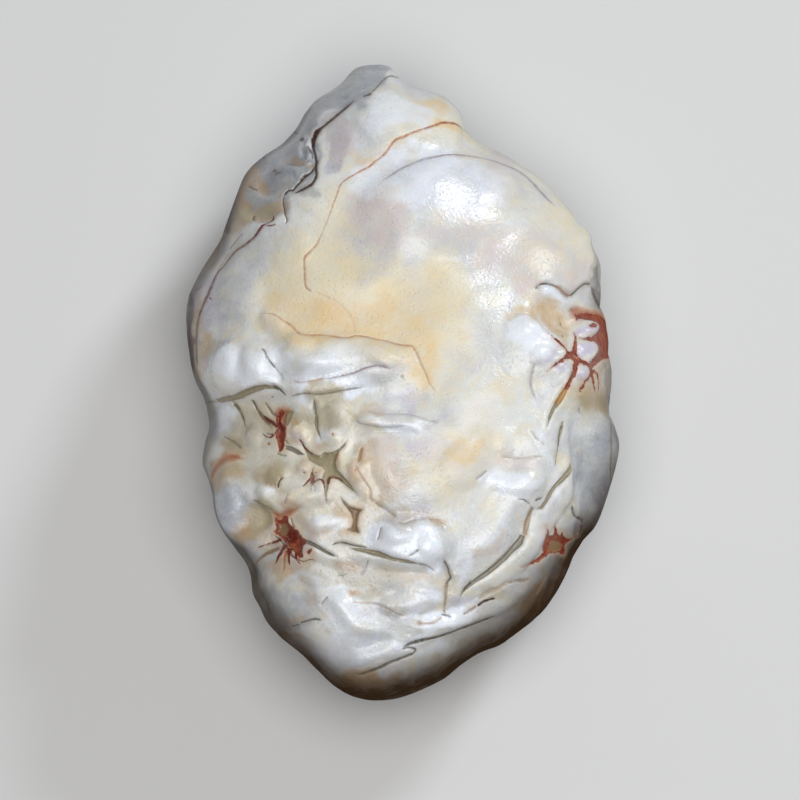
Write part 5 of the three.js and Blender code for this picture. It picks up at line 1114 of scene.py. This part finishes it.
class Stone:
    """The stone's net, with its relief and the masks that colour it."""

    def __init__(self, sizes):
        self.body = Body(sizes)
        self.direction, self.faces = ball()
        for _ in range(SPLITTING_ROUNDS):
            count = len(self.faces)
            self.direction, self.faces = refined(self.direction, self.faces, self.body, sizes)
            if len(self.faces) == count:
                break
        self.across, self.up, *_ = self.body.sight(self.direction)
        lift = self.direction[:, 2]
        self.turned = lift >= 0
        inner = RIM_RELIEF + (1 - RIM_RELIEF) * smooth(*FULL_RELIEF_IN, lift)
        face = smooth(*FACE_RELIEF_IN, lift)
        back = smooth(*BACK_RELIEF_IN, -lift)
        face_broad, face_sharp, face_hollow_shade = FACE.height(self.across, self.up)
        back_broad, back_sharp, back_hollow_shade = BACK.height(self.across, self.up)
        broad = face * inner * face_broad + back * back_broad
        sharp = face * inner * face_sharp + back * back_sharp
        self.hollow_shade = face * face_hollow_shade + back * back_hollow_shade
        worn = self.body.point(self.direction)
        normal = self.body.normal(self.direction)
        # Steps and cuts go straight down from the eye, so that none hides behind its own edge.
        toward = smooth(*PLUMB_CUTS_IN, lift)[:, None]
        sight = np.array([0.0, -math.sin(sizes.look_tilt), math.cos(sizes.look_tilt)])
        plumb = unit(normal * (1 - toward) + sight * toward)
        rise = wave_height(worn) + broad * sizes.relief
        place = worn + normal * rise[:, None] + plumb * (sharp * sizes.relief)[:, None]
        floor = -(sizes.back_depth - sizes.flat_cut) / MM
        self.open_skin = smooth(0.0, 1.2, place[:, 2] - floor)
        place[:, 2] = np.maximum(place[:, 2], floor) - floor
        middle = (place.min(axis=0) + place.max(axis=0)) / 2
        home = (np.array(CAD_BOX[0]) + np.array(CAD_BOX[1])) / 2 / MM
        self.shift = home[:2] - middle[:2]
        place[:, :2] += self.shift
        self.place = place * MM

    def point_masks(self):
        """Vectors for each point: clouds, blots, and form: the painted shade at the edge of the
        face with the brown band of the back, the open skin, and the painted shade in the hollows.
        """
        x, y = self.across, self.up
        for shift, size, seed in CLOUD_RIPPLES:
            x = x + shift * ripples(self.across, self.up, size, seed)
            y = y + shift * ripples(self.across, self.up, size, seed + 1)
        # The face's marks run on over the edge and fade out down the side.
        lift = self.direction[:, 2]
        over = smooth(*FACE_CLOUDS_IN, lift)
        fading = BLOT_FADING * np.maximum(0, -lift)
        made = {}
        for name, tints in CLOUD_SETS.items():
            values = []
            for tint in tints:
                face = FACE.cloud_strength(tint, x, y)
                back = BACK.cloud_strength(tint, x, y)
                values.append(over * face + (1 - over) * back)
            made[name] = np.stack(values, 1)
        for name, kinds in BLOT_SETS.items():
            values = []
            for kind in kinds:
                face = FACE.blot_depth(kind, self.across, self.up) - fading
                back = BACK.blot_depth(kind, self.across, self.up)
                values.append(np.where(self.turned, face, np.maximum(face, back)))
            values += [np.zeros(len(x))] * (3 - len(values))
            made[name] = np.stack(values, 1)
        # Painted shade along the edge of the face, by the table above, and a brown band round the
        # edge of the back
        share = np.hypot(self.direction[:, 0], self.direction[:, 1])
        turn = np.degrees(np.arctan2(self.up, self.across))
        angle, width, strength = np.array(EDGE_SHADE).T
        width = np.interp(turn, angle, width, period=360)
        inset = (1 / np.maximum(share, 1e-6) - 1) * np.hypot(self.across, self.up)
        rim = smooth(BACK_SHADE_FROM, 1, share)
        edge_shade_and_rind = np.where(self.turned, smooth(1, 0, inset / width), rim)
        edge_shade_and_rind *= np.interp(turn, angle, strength, period=360)
        made["form"] = np.stack([edge_shade_and_rind, self.open_skin, self.hollow_shade], 1)
        return made

    def corner_masks(self):
        """Vectors for each corner of each face: signed distance to the nearest line of a kind,
        the line's half width there, and its ink. A face's corners all read the same line."""
        made = {}
        for kind in CUT_KINDS:
            found = np.zeros((len(self.faces), 3, 3))
            found[:, :, :2] = NO_LINE
            best = np.full(len(self.faces), -0.5)
            for side, here in ((FACE, self.turned), (BACK, ~self.turned)):
                for mark in side.cuts:
                    if mark.kind == kind:
                        self.follow(mark, here, found, best)
            made[f"{kind} lines"] = found.reshape(-1, 3)
        return made

    def follow(self, mark, here, found, best):
        """Writes one line into the faces that it passes closest to."""
        at = near_box(mark, self.across, self.up)
        at = at[here[at]]
        if not len(at):
            return
        away, side, along = nearest(mark.line, self.across[at], self.up[at])
        half = half_width(mark, along)
        half[(along <= 0) | (along >= 1)] = -0.3
        count = len(self.across)
        margin = np.full(count, -9.0)
        signed = np.full(count, 9.0)
        width = np.full(count, -1.0)
        margin[at] = half - away
        signed[at] = away * side
        width[at] = half
        top = margin[self.faces].max(axis=1)
        won = np.nonzero(top > best)[0]
        corners = self.faces[won]
        found[won, :, 0] = signed[corners]
        found[won, :, 1] = width[corners]
        found[won, :, 2] = mark.ink
        best[won] = top[won]


def arithmetic(operation, swapped=False):
    """A method of Wire for one kind of arithmetic. Swapped puts the other value first."""

    def method(self, other):
        return self.math(operation, *((other, self) if swapped else (self, other)))

    return method


class Wire:
    """A value in a node tree. Arithmetic on it adds Math nodes."""

    def __init__(self, nodes, socket):
        self.nodes = nodes
        self.socket = socket

    def math(self, operation, *values):
        slots = dict(enumerate(values))
        return self.nodes.add("ShaderNodeMath", {"operation": operation}, slots)

    __add__, __radd__ = arithmetic("ADD"), arithmetic("ADD", True)
    __sub__, __rsub__ = arithmetic("SUBTRACT"), arithmetic("SUBTRACT", True)
    __mul__, __rmul__ = arithmetic("MULTIPLY"), arithmetic("MULTIPLY", True)
    __rtruediv__ = arithmetic("DIVIDE", True)

    def __abs__(self):
        return self.math("ABSOLUTE", self)

    def most(self, other):
        return self.math("MAXIMUM", self, other)

    def least(self, other):
        return self.math("MINIMUM", self, other)

    def smooth(self, low, high):
        """0 below low and 1 above high, eased between them."""
        return self.nodes.add(
            "ShaderNodeMapRange",
            {"interpolation_type": "SMOOTHSTEP"},
            {"Value": self, "From Min": low, "From Max": high},
        )

    def parts(self):
        """The three numbers of a vector."""
        made = self.nodes.add("ShaderNodeSeparateXYZ", {}, {0: self}, None)
        return [Wire(self.nodes, socket) for socket in made.outputs]


class Nodes:
    """Adds nodes to one tree."""

    def __init__(self, tree):
        self.tree = tree

    def add(self, kind, settings=None, slots=None, output=0):
        """A new node: its settings first, then its sockets. Gives one output, or the node."""
        node = self.tree.nodes.new(kind)
        for name, value in (settings or {}).items():
            setattr(node, name, value)
        for name, value in (slots or {}).items():
            if isinstance(value, Wire):
                self.tree.links.new(value.socket, node.inputs[name])
            else:
                node.inputs[name].default_value = value
        return node if output is None else Wire(self, node.outputs[output])

    def attribute(self, name):
        return self.add("ShaderNodeAttribute", {"attribute_name": name}, output=1)

    def mix(self, share, low, high):
        """A colour between two colours."""
        settings = {"data_type": "RGBA", "blend_type": "MIX", "clamp_factor": True}
        return self.add("ShaderNodeMix", settings, {0: share, 6: low, 7: high}, 2)

    def noise(self, at, size, detail=3.0, rough=0.55, distortion=0.0):
        """Cloudy noise whose features are about size across, in millimetres."""
        slots = {
            "Vector": at,
            "Scale": 1 / (size * MM),
            "Detail": detail,
            "Roughness": rough,
            "Distortion": distortion,
        }
        return self.add("ShaderNodeTexNoise", {}, slots)

    def cells(self, at, size):
        """Distance to the middle of the nearest of many cells, in cell sizes."""
        slots = {"Vector": at, "Scale": 1 / (size * MM)}
        return self.add("ShaderNodeTexVoronoi", {}, slots, "Distance")


def linear(red, green, blue):
    """A colour on a screen, 0 to 255, as light."""
    def one(value):
        value /= 255
        return value / 12.92 if value <= 0.04045 else ((value + 0.055) / 1.055) ** 2.4

    return one(red), one(green), one(blue)


def colour(name, about, red, green, blue):
    return FloatVectorProperty(
        name=name,
        description=about,
        subtype="COLOR",
        size=3,
        min=0.0,
        max=1.0,
        default=linear(red, green, blue),
    )


def metres(name, about, value):
    return FloatProperty(name=name, description=about, default=value, unit="LENGTH")


def fraction(name, about, value):
    return FloatProperty(name=name, description=about, default=value, min=0.0, max=1.0)


def solid(value):
    return (*value, 1.0)


def agate_material(tints, finish):
    """Milky agate: clouds of colour, stained lines, and a waxy, finely pitted polish."""
    material = bpy.data.materials.new("milky agate")
    material.use_nodes = True
    tree = material.node_tree
    tree.nodes.clear()
    n = Nodes(tree)
    at = n.add("ShaderNodeTexCoord", output="Object")

    cream, ochre, tan = n.attribute("warm clouds").parts()
    lilac, slate_and_shade, pearl_and_highlight = n.attribute("cool clouds").parts()
    rose, olive, umber_and_shade = n.attribute("dull clouds").parts()
    rust_in, deep_in, amber_in = n.attribute("stains").parts()
    olive_in, brown_in, grey_in = n.attribute("floors").parts()
    tan_in, ochre_in, _ = n.attribute("pale floors").parts()
    edge_shade_and_rind, _, hollow_shade = n.attribute("form").parts()

    drift = n.noise(at, 7.0, 4.0, 0.6, 0.6)
    mottle = n.noise(at, 2.2, 4.0, 0.6, 0.4)
    grain = n.noise(at, 0.45, 3.0, 0.6)
    curdle = n.noise(at, 1.1, 5.0, 0.65, 1.2)

    def clouded(mask):
        """A mask whose soft parts are broken up by the stone's own mottling."""
        edge = mask * (1 - mask) * 4 * 0.8
        moved = mask + (mottle - 0.5) * edge * 1.4 + (curdle - 0.5) * edge * 0.8
        return moved.least(1.0).most(0.0)

    hue = n.noise(at, 3.4, 3.0, 0.6, 0.8)
    base = n.mix(drift.smooth(0.35, 0.7), solid(tints.milk), solid(tints.milk_shade))
    base = n.mix(curdle.smooth(0.5, 0.72) * 0.4, base, solid(tints.pearl_and_highlight))
    base = n.mix(hue.smooth(0.5, 0.7) * 0.5, base, solid(tints.cream))
    base = n.mix(hue.smooth(0.5, 0.3) * 0.35, base, solid(tints.lilac))
    # Clouds of colour: the slate clouds are partly painted shade and the pearl clouds partly
    # painted highlight
    for mask, tint in (
        (lilac, tints.lilac), (slate_and_shade, tints.slate_and_shade), (rose, tints.rose), (cream, tints.cream),
        (ochre, tints.ochre), (tan, tints.tan), (olive, tints.olive), (pearl_and_highlight, tints.pearl_and_highlight),
    ):
        base = n.mix(clouded(mask), base, solid(tint))
    # Painted shade along the edge of the face, strongest along its lower edge, and the brown band
    # round the back; the skin is matte there too
    base = n.mix((edge_shade_and_rind * (0.85 + 0.3 * mottle)).least(1.0), base, solid(tints.rim))
    # Painted shade in and beside the creases, slits and pits
    base = n.mix(hollow_shade * 0.45, base, solid(tints.hollow_shade))

    ragged = n.noise(at, 0.5, 3.0, 0.7) - 0.5
    rust_tone = n.mix(
        curdle.smooth(0.46, 0.6) * (0.35 + 0.8 * mottle), solid(tints.rust), solid(tints.amber)
    )
    dark_specks = grain.smooth(0.5, 0.62).most(rust_in.smooth(0.16, 0.0)) * 0.55
    rust_tone = n.mix(dark_specks, rust_tone, solid(tints.rust_deep))

    broken = n.noise(at, 0.6, 3.0, 0.7).smooth(0.3, 0.6)

    def stroke(kind, soft, breaks):
        """How much of a kind of line covers a point."""
        away, half, ink = n.attribute(f"{kind} lines").parts()
        edge = half + ragged * (half.most(0.0) * 2.4).least(0.24)
        return (edge - abs(away)).smooth(-soft, soft) * ink * (1.05 - breaks + breaks * broken)

    def floor_of(depth, soft=0.06, rag=0.12):
        """How much of a kind of blot covers a point."""
        return (depth + ragged * rag).smooth(-soft, soft)

    halo = rust_in.most(amber_in).smooth(-0.55, 0.1) * 0.4
    base = n.mix(halo * (0.5 + mottle), base, solid(tints.peach))
    base = n.mix(floor_of(tan_in), base, solid(tints.tan_floor))
    base = n.mix(floor_of(ochre_in), base, solid(tints.ochre_floor))
    base = n.mix(floor_of(amber_in, 0.3, 0.5) * (0.4 + 0.8 * mottle).least(0.9), base,
                 solid(tints.amber))
    olive_cover = floor_of(olive_in)
    olive_tone = n.mix(olive_in.smooth(0.0, 0.12), solid(tints.slit_edge), solid(tints.slit_olive))
    base = n.mix(olive_cover * (0.8 + 0.3 * grain), base, olive_tone)
    grey_tone = n.mix(grey_in.smooth(0.04, 0.14), solid(tints.slit_edge), solid(tints.slit_grey))
    base = n.mix(floor_of(grey_in) * (0.85 + 0.2 * grain), base, grey_tone)
    rust_cover = floor_of(rust_in, 0.07, 0.5)
    base = n.mix(rust_cover * (0.8 + 0.4 * mottle).least(1.0), base, rust_tone)
    base = n.mix(floor_of(brown_in, 0.08, 0.2) * 0.9, base, solid(tints.slit_brown))
    base = n.mix(floor_of(deep_in, 0.15, 0.3) * 0.9, base, solid(tints.rust_deep))
    lines = (
        ("tan", tints.tan_floor, 0.08), ("mauve", tints.mauve, 0.08),
        ("ochre", tints.ochre_floor, 0.07), ("vein", tints.vein, 0.09),
        ("olive", tints.olive_line, 0.05), ("grey", tints.grey_line, 0.05),
        ("brown", tints.slit_brown, 0.07), ("rust", tints.red_line, 0.05),
        ("crack", tints.crack, 0.045),
    )
    covers = {}
    for kind, tint, soft in lines:
        covers[kind] = stroke(kind, soft, 0.2 if kind == "crack" else 0.5)
        base = n.mix(covers[kind], base, solid(tint))
    # The stone's dark specks, and painted shade at the side edges and in a notch
    base = n.mix(umber_and_shade * 0.9, base, solid(tints.crack))

    pits = n.cells(at, 0.42)
    sparse = n.noise(at, 1.6, 2.0).smooth(0.35, 0.6)
    pitted = (1 - pits.smooth(0.12, 0.36)) * sparse
    # Painted shade in the tiny pits
    base = n.mix(pitted * 0.1, base, solid(tints.hollow_shade))

    marks = rust_cover.most(olive_cover).most(covers["rust"]).least(1.0)
    rough = finish.roughness + 0.2 * (grain - 0.5) + 0.1 * (drift - 0.5)
    rough = rough + 0.1 * hollow_shade + 0.45 * edge_shade_and_rind - 0.06 * pearl_and_highlight - 0.08 * marks
    rough = rough + 0.2 * cream.most(ochre).most(olive)
    facets = n.noise(at, 0.34, 2.0, 0.5)
    height = 1.1 * facets + (0.5 + 1.5 * marks) * grain - 0.6 * pitted + 0.35 * mottle
    bump = n.add(
        "ShaderNodeBump",
        {},
        {"Strength": finish.bump, "Distance": 0.05 * MM, "Height": height},
    )
    shader = n.add(
        "ShaderNodeBsdfPrincipled",
        {"subsurface_method": "RANDOM_WALK"},
        {
            "Base Color": base,
            "Roughness": rough.least(0.9).most(0.12),
            "IOR": 1.54,
            "Subsurface Weight": finish.milkiness,
            "Subsurface Radius": (1.0, 0.72, 0.5),
            "Subsurface Scale": finish.depth_of_light,
            "Normal": bump,
        },
    )
    rind = n.add("ShaderNodeBsdfDiffuse", {}, {"Color": base, "Normal": bump})
    skin = n.add("ShaderNodeMixShader", {}, {0: (1.6 * edge_shade_and_rind).least(0.95), 1: shader, 2: rind})
    n.add("ShaderNodeOutputMaterial", {}, {"Surface": skin}, None)
    return material


def skin_tree(material):
    """Node group: shallow dimples and a fine ripple all over a surface."""
    tree = bpy.data.node_groups.new("weathered skin", "GeometryNodeTree")
    face = tree.interface
    face.new_socket("Geometry", in_out="INPUT", socket_type="NodeSocketGeometry")
    for name, value in (
        ("Dimple Depth", 0.03 * MM),
        ("Dimple Spacing", 1.1 * MM),
        ("Ripple Height", 0.05 * MM),
        ("Ripple Length", 1.6 * MM),
    ):
        socket = face.new_socket(name, in_out="INPUT", socket_type="NodeSocketFloat")
        socket.subtype = "DISTANCE"
        socket.default_value = value
    face.new_socket("Seed", in_out="INPUT", socket_type="NodeSocketFloat").default_value = 3.0
    face.new_socket("Geometry", in_out="OUTPUT", socket_type="NodeSocketGeometry")

    n = Nodes(tree)
    given = n.add("NodeGroupInput", output=None)
    value = {socket.name: Wire(n, socket) for socket in given.outputs if socket.name}
    at = n.add("GeometryNodeInputPosition")
    outward = n.add("GeometryNodeInputNormal")
    form = n.add(
        "GeometryNodeInputNamedAttribute", {"data_type": "FLOAT_VECTOR"}, {"Name": "form"}
    )
    _, open_skin, _ = form.parts()
    dimple = n.add(
        "ShaderNodeTexVoronoi",
        {"voronoi_dimensions": "4D"},
        {"Vector": at, "W": value["Seed"], "Scale": 1.0 / value["Dimple Spacing"]},
        "Distance",
    )
    crowd = n.add(
        "ShaderNodeTexNoise",
        {"noise_dimensions": "4D"},
        {"Vector": at, "W": value["Seed"], "Scale": 0.2 / value["Dimple Spacing"]},
    )
    ripple = n.add(
        "ShaderNodeTexNoise",
        {"noise_dimensions": "4D"},
        {
            "Vector": at,
            "W": value["Seed"],
            "Scale": 1.0 / value["Ripple Length"],
            "Detail": 3.0,
        },
    )
    dip = (1 - dimple.smooth(0.05, 0.5)) * crowd.smooth(0.42, 0.62)
    height = (ripple - 0.5) * 2.0 * value["Ripple Height"] - dip * value["Dimple Depth"]
    height = height * open_skin
    offset = n.add(
        "ShaderNodeVectorMath", {"operation": "SCALE"}, {0: outward, "Scale": height}
    )
    moved = n.add(
        "GeometryNodeSetPosition", {}, {"Geometry": value["Geometry"], "Offset": offset}
    )
    real = n.add("GeometryNodeRealizeInstances", {}, {"Geometry": moved})
    dressed = n.add(
        "GeometryNodeSetMaterial", {}, {"Geometry": real, "Material": material}
    )
    n.add("NodeGroupOutput", {}, {0: dressed}, None)
    return tree


def plain_object(name, points, faces, point_values=None, corner_values=None):
    """A mesh object at the origin, from points in metres."""
    mesh = bpy.data.meshes.new(name)
    mesh.vertices.add(len(points))
    mesh.vertices.foreach_set("co", np.ascontiguousarray(points, np.float32).ravel())
    mesh.loops.add(3 * len(faces))
    mesh.loops.foreach_set("vertex_index", faces.astype(np.int32).ravel())
    mesh.polygons.add(len(faces))
    mesh.polygons.foreach_set("loop_start", 3 * np.arange(len(faces), dtype=np.int32))
    mesh.update(calc_edges=True)
    for domain, sets in (("POINT", point_values or {}), ("CORNER", corner_values or {})):
        for label, values in sets.items():
            layer = mesh.attributes.new(label, "FLOAT_VECTOR", domain)
            layer.data.foreach_set("vector", values.astype(np.float32).ravel())
    mesh.shade_smooth()
    made = bpy.data.objects.new(name, mesh)
    bpy.context.scene.collection.objects.link(made)
    return made


def weather(stone, tree, skin):
    """Runs the skin over the stone and leaves a plain mesh."""
    modifier = stone.modifiers.new("weathered skin", "NODES")
    modifier.node_group = tree
    values = {
        "Dimple Depth": skin.dimple_depth,
        "Dimple Spacing": skin.dimple_spacing,
        "Ripple Height": skin.ripple_height,
        "Ripple Length": skin.ripple_length,
        "Seed": float(skin.seed),
    }
    for item in tree.interface.items_tree:
        if item.in_out == "INPUT" and item.name in values:
            modifier[item.identifier] = values[item.name]
    scene_state = bpy.context.evaluated_depsgraph_get()
    made = bpy.data.meshes.new_from_object(
        stone.evaluated_get(scene_state), preserve_all_data_layers=True, depsgraph=scene_state
    )
    stone.modifiers.clear()
    stone.data = made


class PebbleSizes(bpy.types.PropertyGroup):
    face_height: metres("Face Height", "From the widest line to the crown of the face", 0.015)
    back_depth: metres(
        "Back Depth", "From the widest line to the lowest point of the back", 0.0134
    )
    flat_cut: metres("Flat Spot Cut", "How far the flat spot cuts into the back", 0.00055)
    look_tilt: FloatProperty(
        name="Look Tilt", description="Angle between the plan's line of sight and the vertical",
        default=math.radians(15), subtype="ANGLE",
    )
    relief: FloatProperty(
        name="Relief", description="Strength of the folds, ledges, slits and pits",
        default=1.0, min=0.0, max=2.0,
    )
    fine_edge: metres("Fine Edge", "Edge length of the net beside a slit or vein", 0.00013)
    open_edge: metres("Open Edge", "Edge length of the net on the open face", 0.00036)
    back_edge: metres("Back Edge", "Edge length of the net on the back", 0.0008)


class PebbleSkin(bpy.types.PropertyGroup):
    dimple_depth: metres("Dimple Depth", "Depth of the shallow dimples", 0.00003)
    dimple_spacing: metres("Dimple Spacing", "Distance between dimples", 0.0011)
    ripple_height: metres("Ripple Height", "Height of the fine ripple", 0.00005)
    ripple_length: metres("Ripple Length", "Length of the fine ripple", 0.0016)
    seed: IntProperty(name="Seed", description="Picks another pattern of dimples", default=3)


class PebbleTints(bpy.types.PropertyGroup):
    milk: colour("Milk", "The stone's own milky body", 222, 223, 219)
    milk_shade: colour("Milk Shade", "The greyer drift in the milk", 200, 202, 202)
    cream: colour("Cream", "Warm clouds", 226, 213, 180)
    ochre: colour("Ochre", "Yellow clouds", 222, 192, 140)
    tan: colour("Tan", "Brownish hollows", 188, 160, 126)
    rose: colour("Rose", "Pinkish clouds", 214, 199, 196)
    lilac: colour("Lilac", "Lavender clouds", 192, 188, 208)
    # The stone's blue grey, also used as painted shade where the stone turns away from the light
    slate_and_shade: colour("Slate", "Blue grey depths", 140, 144, 153)
    # The stone's bluish white, also used as painted highlight on the folds
    pearl_and_highlight: colour("Pearl", "Bluish white folds", 234, 239, 248)
    olive: colour("Olive", "Dull hollows", 176, 166, 138)
    # Painted shade along the edge of the face, and the brown band round the back
    rim: colour("Rim", "The brown edge", 64, 46, 28)
    olive_line: colour("Olive Line", "The narrow open slits", 124, 115, 92)
    grey_line: colour("Grey Line", "The narrow grey slits", 100, 96, 86)
    red_line: colour("Red Line", "The fine red veins", 112, 46, 34)
    # Painted shade in the creases, slits and pits, and in the tiny pits
    hollow_shade: colour("Dirt", "Dirt in the creases", 140, 128, 108)
    peach: colour("Peach", "The glow round the iron stain", 214, 178, 150)
    vein: colour("Vein", "Orange brown veins", 176, 112, 70)
    amber: colour("Amber", "Thin iron stain", 164, 92, 54)
    rust: colour("Rust", "Iron stain", 136, 60, 44)
    rust_deep: colour("Deep Rust", "Iron stain in the pits", 98, 38, 26)
    crack: colour("Crack", "Dark joints", 64, 38, 30)
    mauve: colour("Mauve", "Lavender grey creases", 146, 130, 148)
    slit_edge: colour("Slit Edge", "The darker edge of an open slit", 112, 103, 86)
    slit_olive: colour("Olive Slit", "Floor of the open slits", 154, 144, 116)
    slit_grey: colour("Grey Slit", "Floor of the grey slits", 134, 130, 118)
    slit_brown: colour("Brown Slit", "Floor of the brown slits", 138, 112, 82)
    tan_floor: colour("Tan Floor", "Floor of the pale creases", 164, 146, 126)
    ochre_floor: colour("Ochre Floor", "Floor of the yellow creases", 178, 138, 84)


class PebbleFinish(bpy.types.PropertyGroup):
    roughness: fraction("Roughness", "Roughness of the waxy polish", 0.3)
    bump: fraction("Pitting", "Strength of the fine pitting", 0.8)
    milkiness: fraction("Milkiness", "How much light spreads inside", 0.35)
    depth_of_light: metres("Depth of Light", "How far light spreads inside", 0.001)


class PebbleStage(bpy.types.PropertyGroup):
    floor_width: metres("Floor Width", "Side of the square floor", 3.0)
    floor_tint: colour("Floor", "The pale floor", 214, 214, 214)
    key_power: FloatProperty(
        name="Key Power", description="Power of the light overhead", default=3.1, unit="POWER"
    )
    side_power: FloatProperty(
        name="Side Power", description="Power of the light at the upper right",
        default=1.6, unit="POWER",
    )
    sky: FloatProperty(name="Sky", description="Strength of the even light", default=0.05)
    lens: FloatProperty(
        name="Lens", description="The camera's focal length in millimetres", default=300.0
    )


class AGATE_OT_stone(bpy.types.Operator):
    """Makes the stone: its body, folds, slits, pits, skin and colours"""

    bl_idname = "agate.stone"
    bl_label = "Make Stone"

    def execute(self, context):
        settings = context.scene
        shape = Stone(settings.pebble_sizes)
        stone = plain_object(
            "agate_stone", shape.place, shape.faces, shape.point_masks(), shape.corner_masks()
        )
        material = agate_material(settings.pebble_tints, settings.pebble_finish)
        weather(stone, skin_tree(material), settings.pebble_skin)
        if not stone.data.materials:
            raise RuntimeError("the skin left the stone without its material")
        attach(stone, "root")
        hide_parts("agate_pebble")
        return {"FINISHED"}


class AGATE_OT_stage(bpy.types.Operator):
    """Makes the floor, the soft lights and the camera"""

    bl_idname = "agate.stage"
    bl_label = "Make Stage"

    def execute(self, context):
        scene = context.scene
        stage = scene.pebble_stage
        tilt = scene.pebble_sizes.look_tilt
        self.make_floor(stage)
        heart = Vector([(low + high) / 2 for low, high in zip(*CAD_BOX)])
        self.make_light(
            "key", heart, offset=(0.02, -0.14, 0.58), size=0.5, power=stage.key_power,
            tint=(1, 0.99, 0.98),
        )
        self.make_light(
            "side", heart, offset=(0.34, 0.36, 0.34), size=0.14, power=stage.side_power,
            tint=(0.92, 0.96, 1),
        )
        world = bpy.data.worlds.new("even light")
        world.use_nodes = True
        back = world.node_tree.nodes["Background"]
        back.inputs["Color"].default_value = (0.96, 0.98, 1.0, 1.0)
        back.inputs["Strength"].default_value = stage.sky
        scene.world = world
        scene.view_settings.view_transform = "Standard"

        middle = self.plan_middle(scene.pebble_sizes)
        away = Vector((0, -math.sin(tilt), math.cos(tilt)))
        data = bpy.data.cameras.new("camera")
        data.lens = stage.lens
        distance = PLAN_WIDTH * MM * data.lens / data.sensor_width
        camera = bpy.data.objects.new("camera", data)
        camera.rotation_mode = "QUATERNION"
        camera.location = middle + away * distance
        camera.rotation_quaternion = away.to_track_quat("Z", "Y")
        data.clip_start, data.clip_end = 0.01, 20.0
        scene.collection.objects.link(camera)
        scene.camera = camera
        return {"FINISHED"}

    @staticmethod
    def plan_middle(sizes):
        """Where the middle of the plan lies in the frame."""
        right = PLAN_WIDTH / 2 - PLAN_CENTRE[0]
        up = PLAN_CENTRE[1] - PLAN_WIDTH / 2
        rise = Vector((0, math.cos(sizes.look_tilt), math.sin(sizes.look_tilt)))
        centre = Vector((0, 0, sizes.back_depth - sizes.flat_cut))
        return centre + Vector((right * MM, 0, 0)) + rise * (up * MM)

    @staticmethod
    def make_floor(stage):
        half = stage.floor_width / 2
        corners = half * np.array([(-1, -1, 0), (1, -1, 0), (1, 1, 0), (-1, 1, 0)])
        floor = plain_object("floor", corners, np.array([(0, 1, 2), (0, 2, 3)]))
        paper = bpy.data.materials.new("pale paper")
        paper.use_nodes = True
        n = Nodes(paper.node_tree)
        shader = paper.node_tree.nodes["Principled BSDF"]
        at = n.add("ShaderNodeTexCoord", output="Object")
        tone = n.noise(at, 60.0, 2.0)
        light = solid(stage.floor_tint)
        dark = solid(tuple(0.97 * c for c in stage.floor_tint))
        paper.node_tree.links.new(n.mix(tone, light, dark).socket, shader.inputs["Base Color"])
        shader.inputs["Roughness"].default_value = 0.8
        floor.data.materials.append(paper)

    @staticmethod
    def make_light(name, heart, offset, size, power, tint):
        """A round lamp that looks at the heart of the stone from an offset, in metres."""
        data = bpy.data.lights.new(name, "AREA")
        data.shape = "DISK"
        data.size = size
        data.energy = power
        data.color = tint
        light = bpy.data.objects.new(name, data)
        light.location = heart + Vector(offset)
        light.rotation_mode = "QUATERNION"
        light.rotation_quaternion = Vector(offset).to_track_quat("Z", "Y")
        bpy.context.scene.collection.objects.link(light)


class AGATE_PT_panel(bpy.types.Panel):
    bl_label = "Agate Pebble"
    bl_idname = "AGATE_PT_panel"
    bl_space_type = "VIEW_3D"
    bl_region_type = "UI"
    bl_category = "Agate"

    def draw(self, context):
        layout = self.layout
        for name in GROUPS:
            box = layout.box()
            group = getattr(context.scene, name)
            for key in group.__annotations__:
                box.prop(group, key)
        layout.operator(AGATE_OT_stage.bl_idname)
        layout.operator(AGATE_OT_stone.bl_idname)


GROUPS = {
    "pebble_sizes": PebbleSizes,
    "pebble_skin": PebbleSkin,
    "pebble_tints": PebbleTints,
    "pebble_finish": PebbleFinish,
    "pebble_stage": PebbleStage,
}
CLASSES = (*GROUPS.values(), AGATE_OT_stone, AGATE_OT_stage, AGATE_PT_panel)


def register():
    for kind in CLASSES:
        bpy.utils.register_class(kind)
    for name, kind in GROUPS.items():
        setattr(bpy.types.Scene, name, PointerProperty(type=kind))


def unregister():
    for name in GROUPS:
        delattr(bpy.types.Scene, name)
    for kind in reversed(CLASSES):
        bpy.utils.unregister_class(kind)


def main():
    register()
    bpy.ops.agate.stage()
    bpy.ops.agate.stone()


if __name__ == "__main__":
    main()
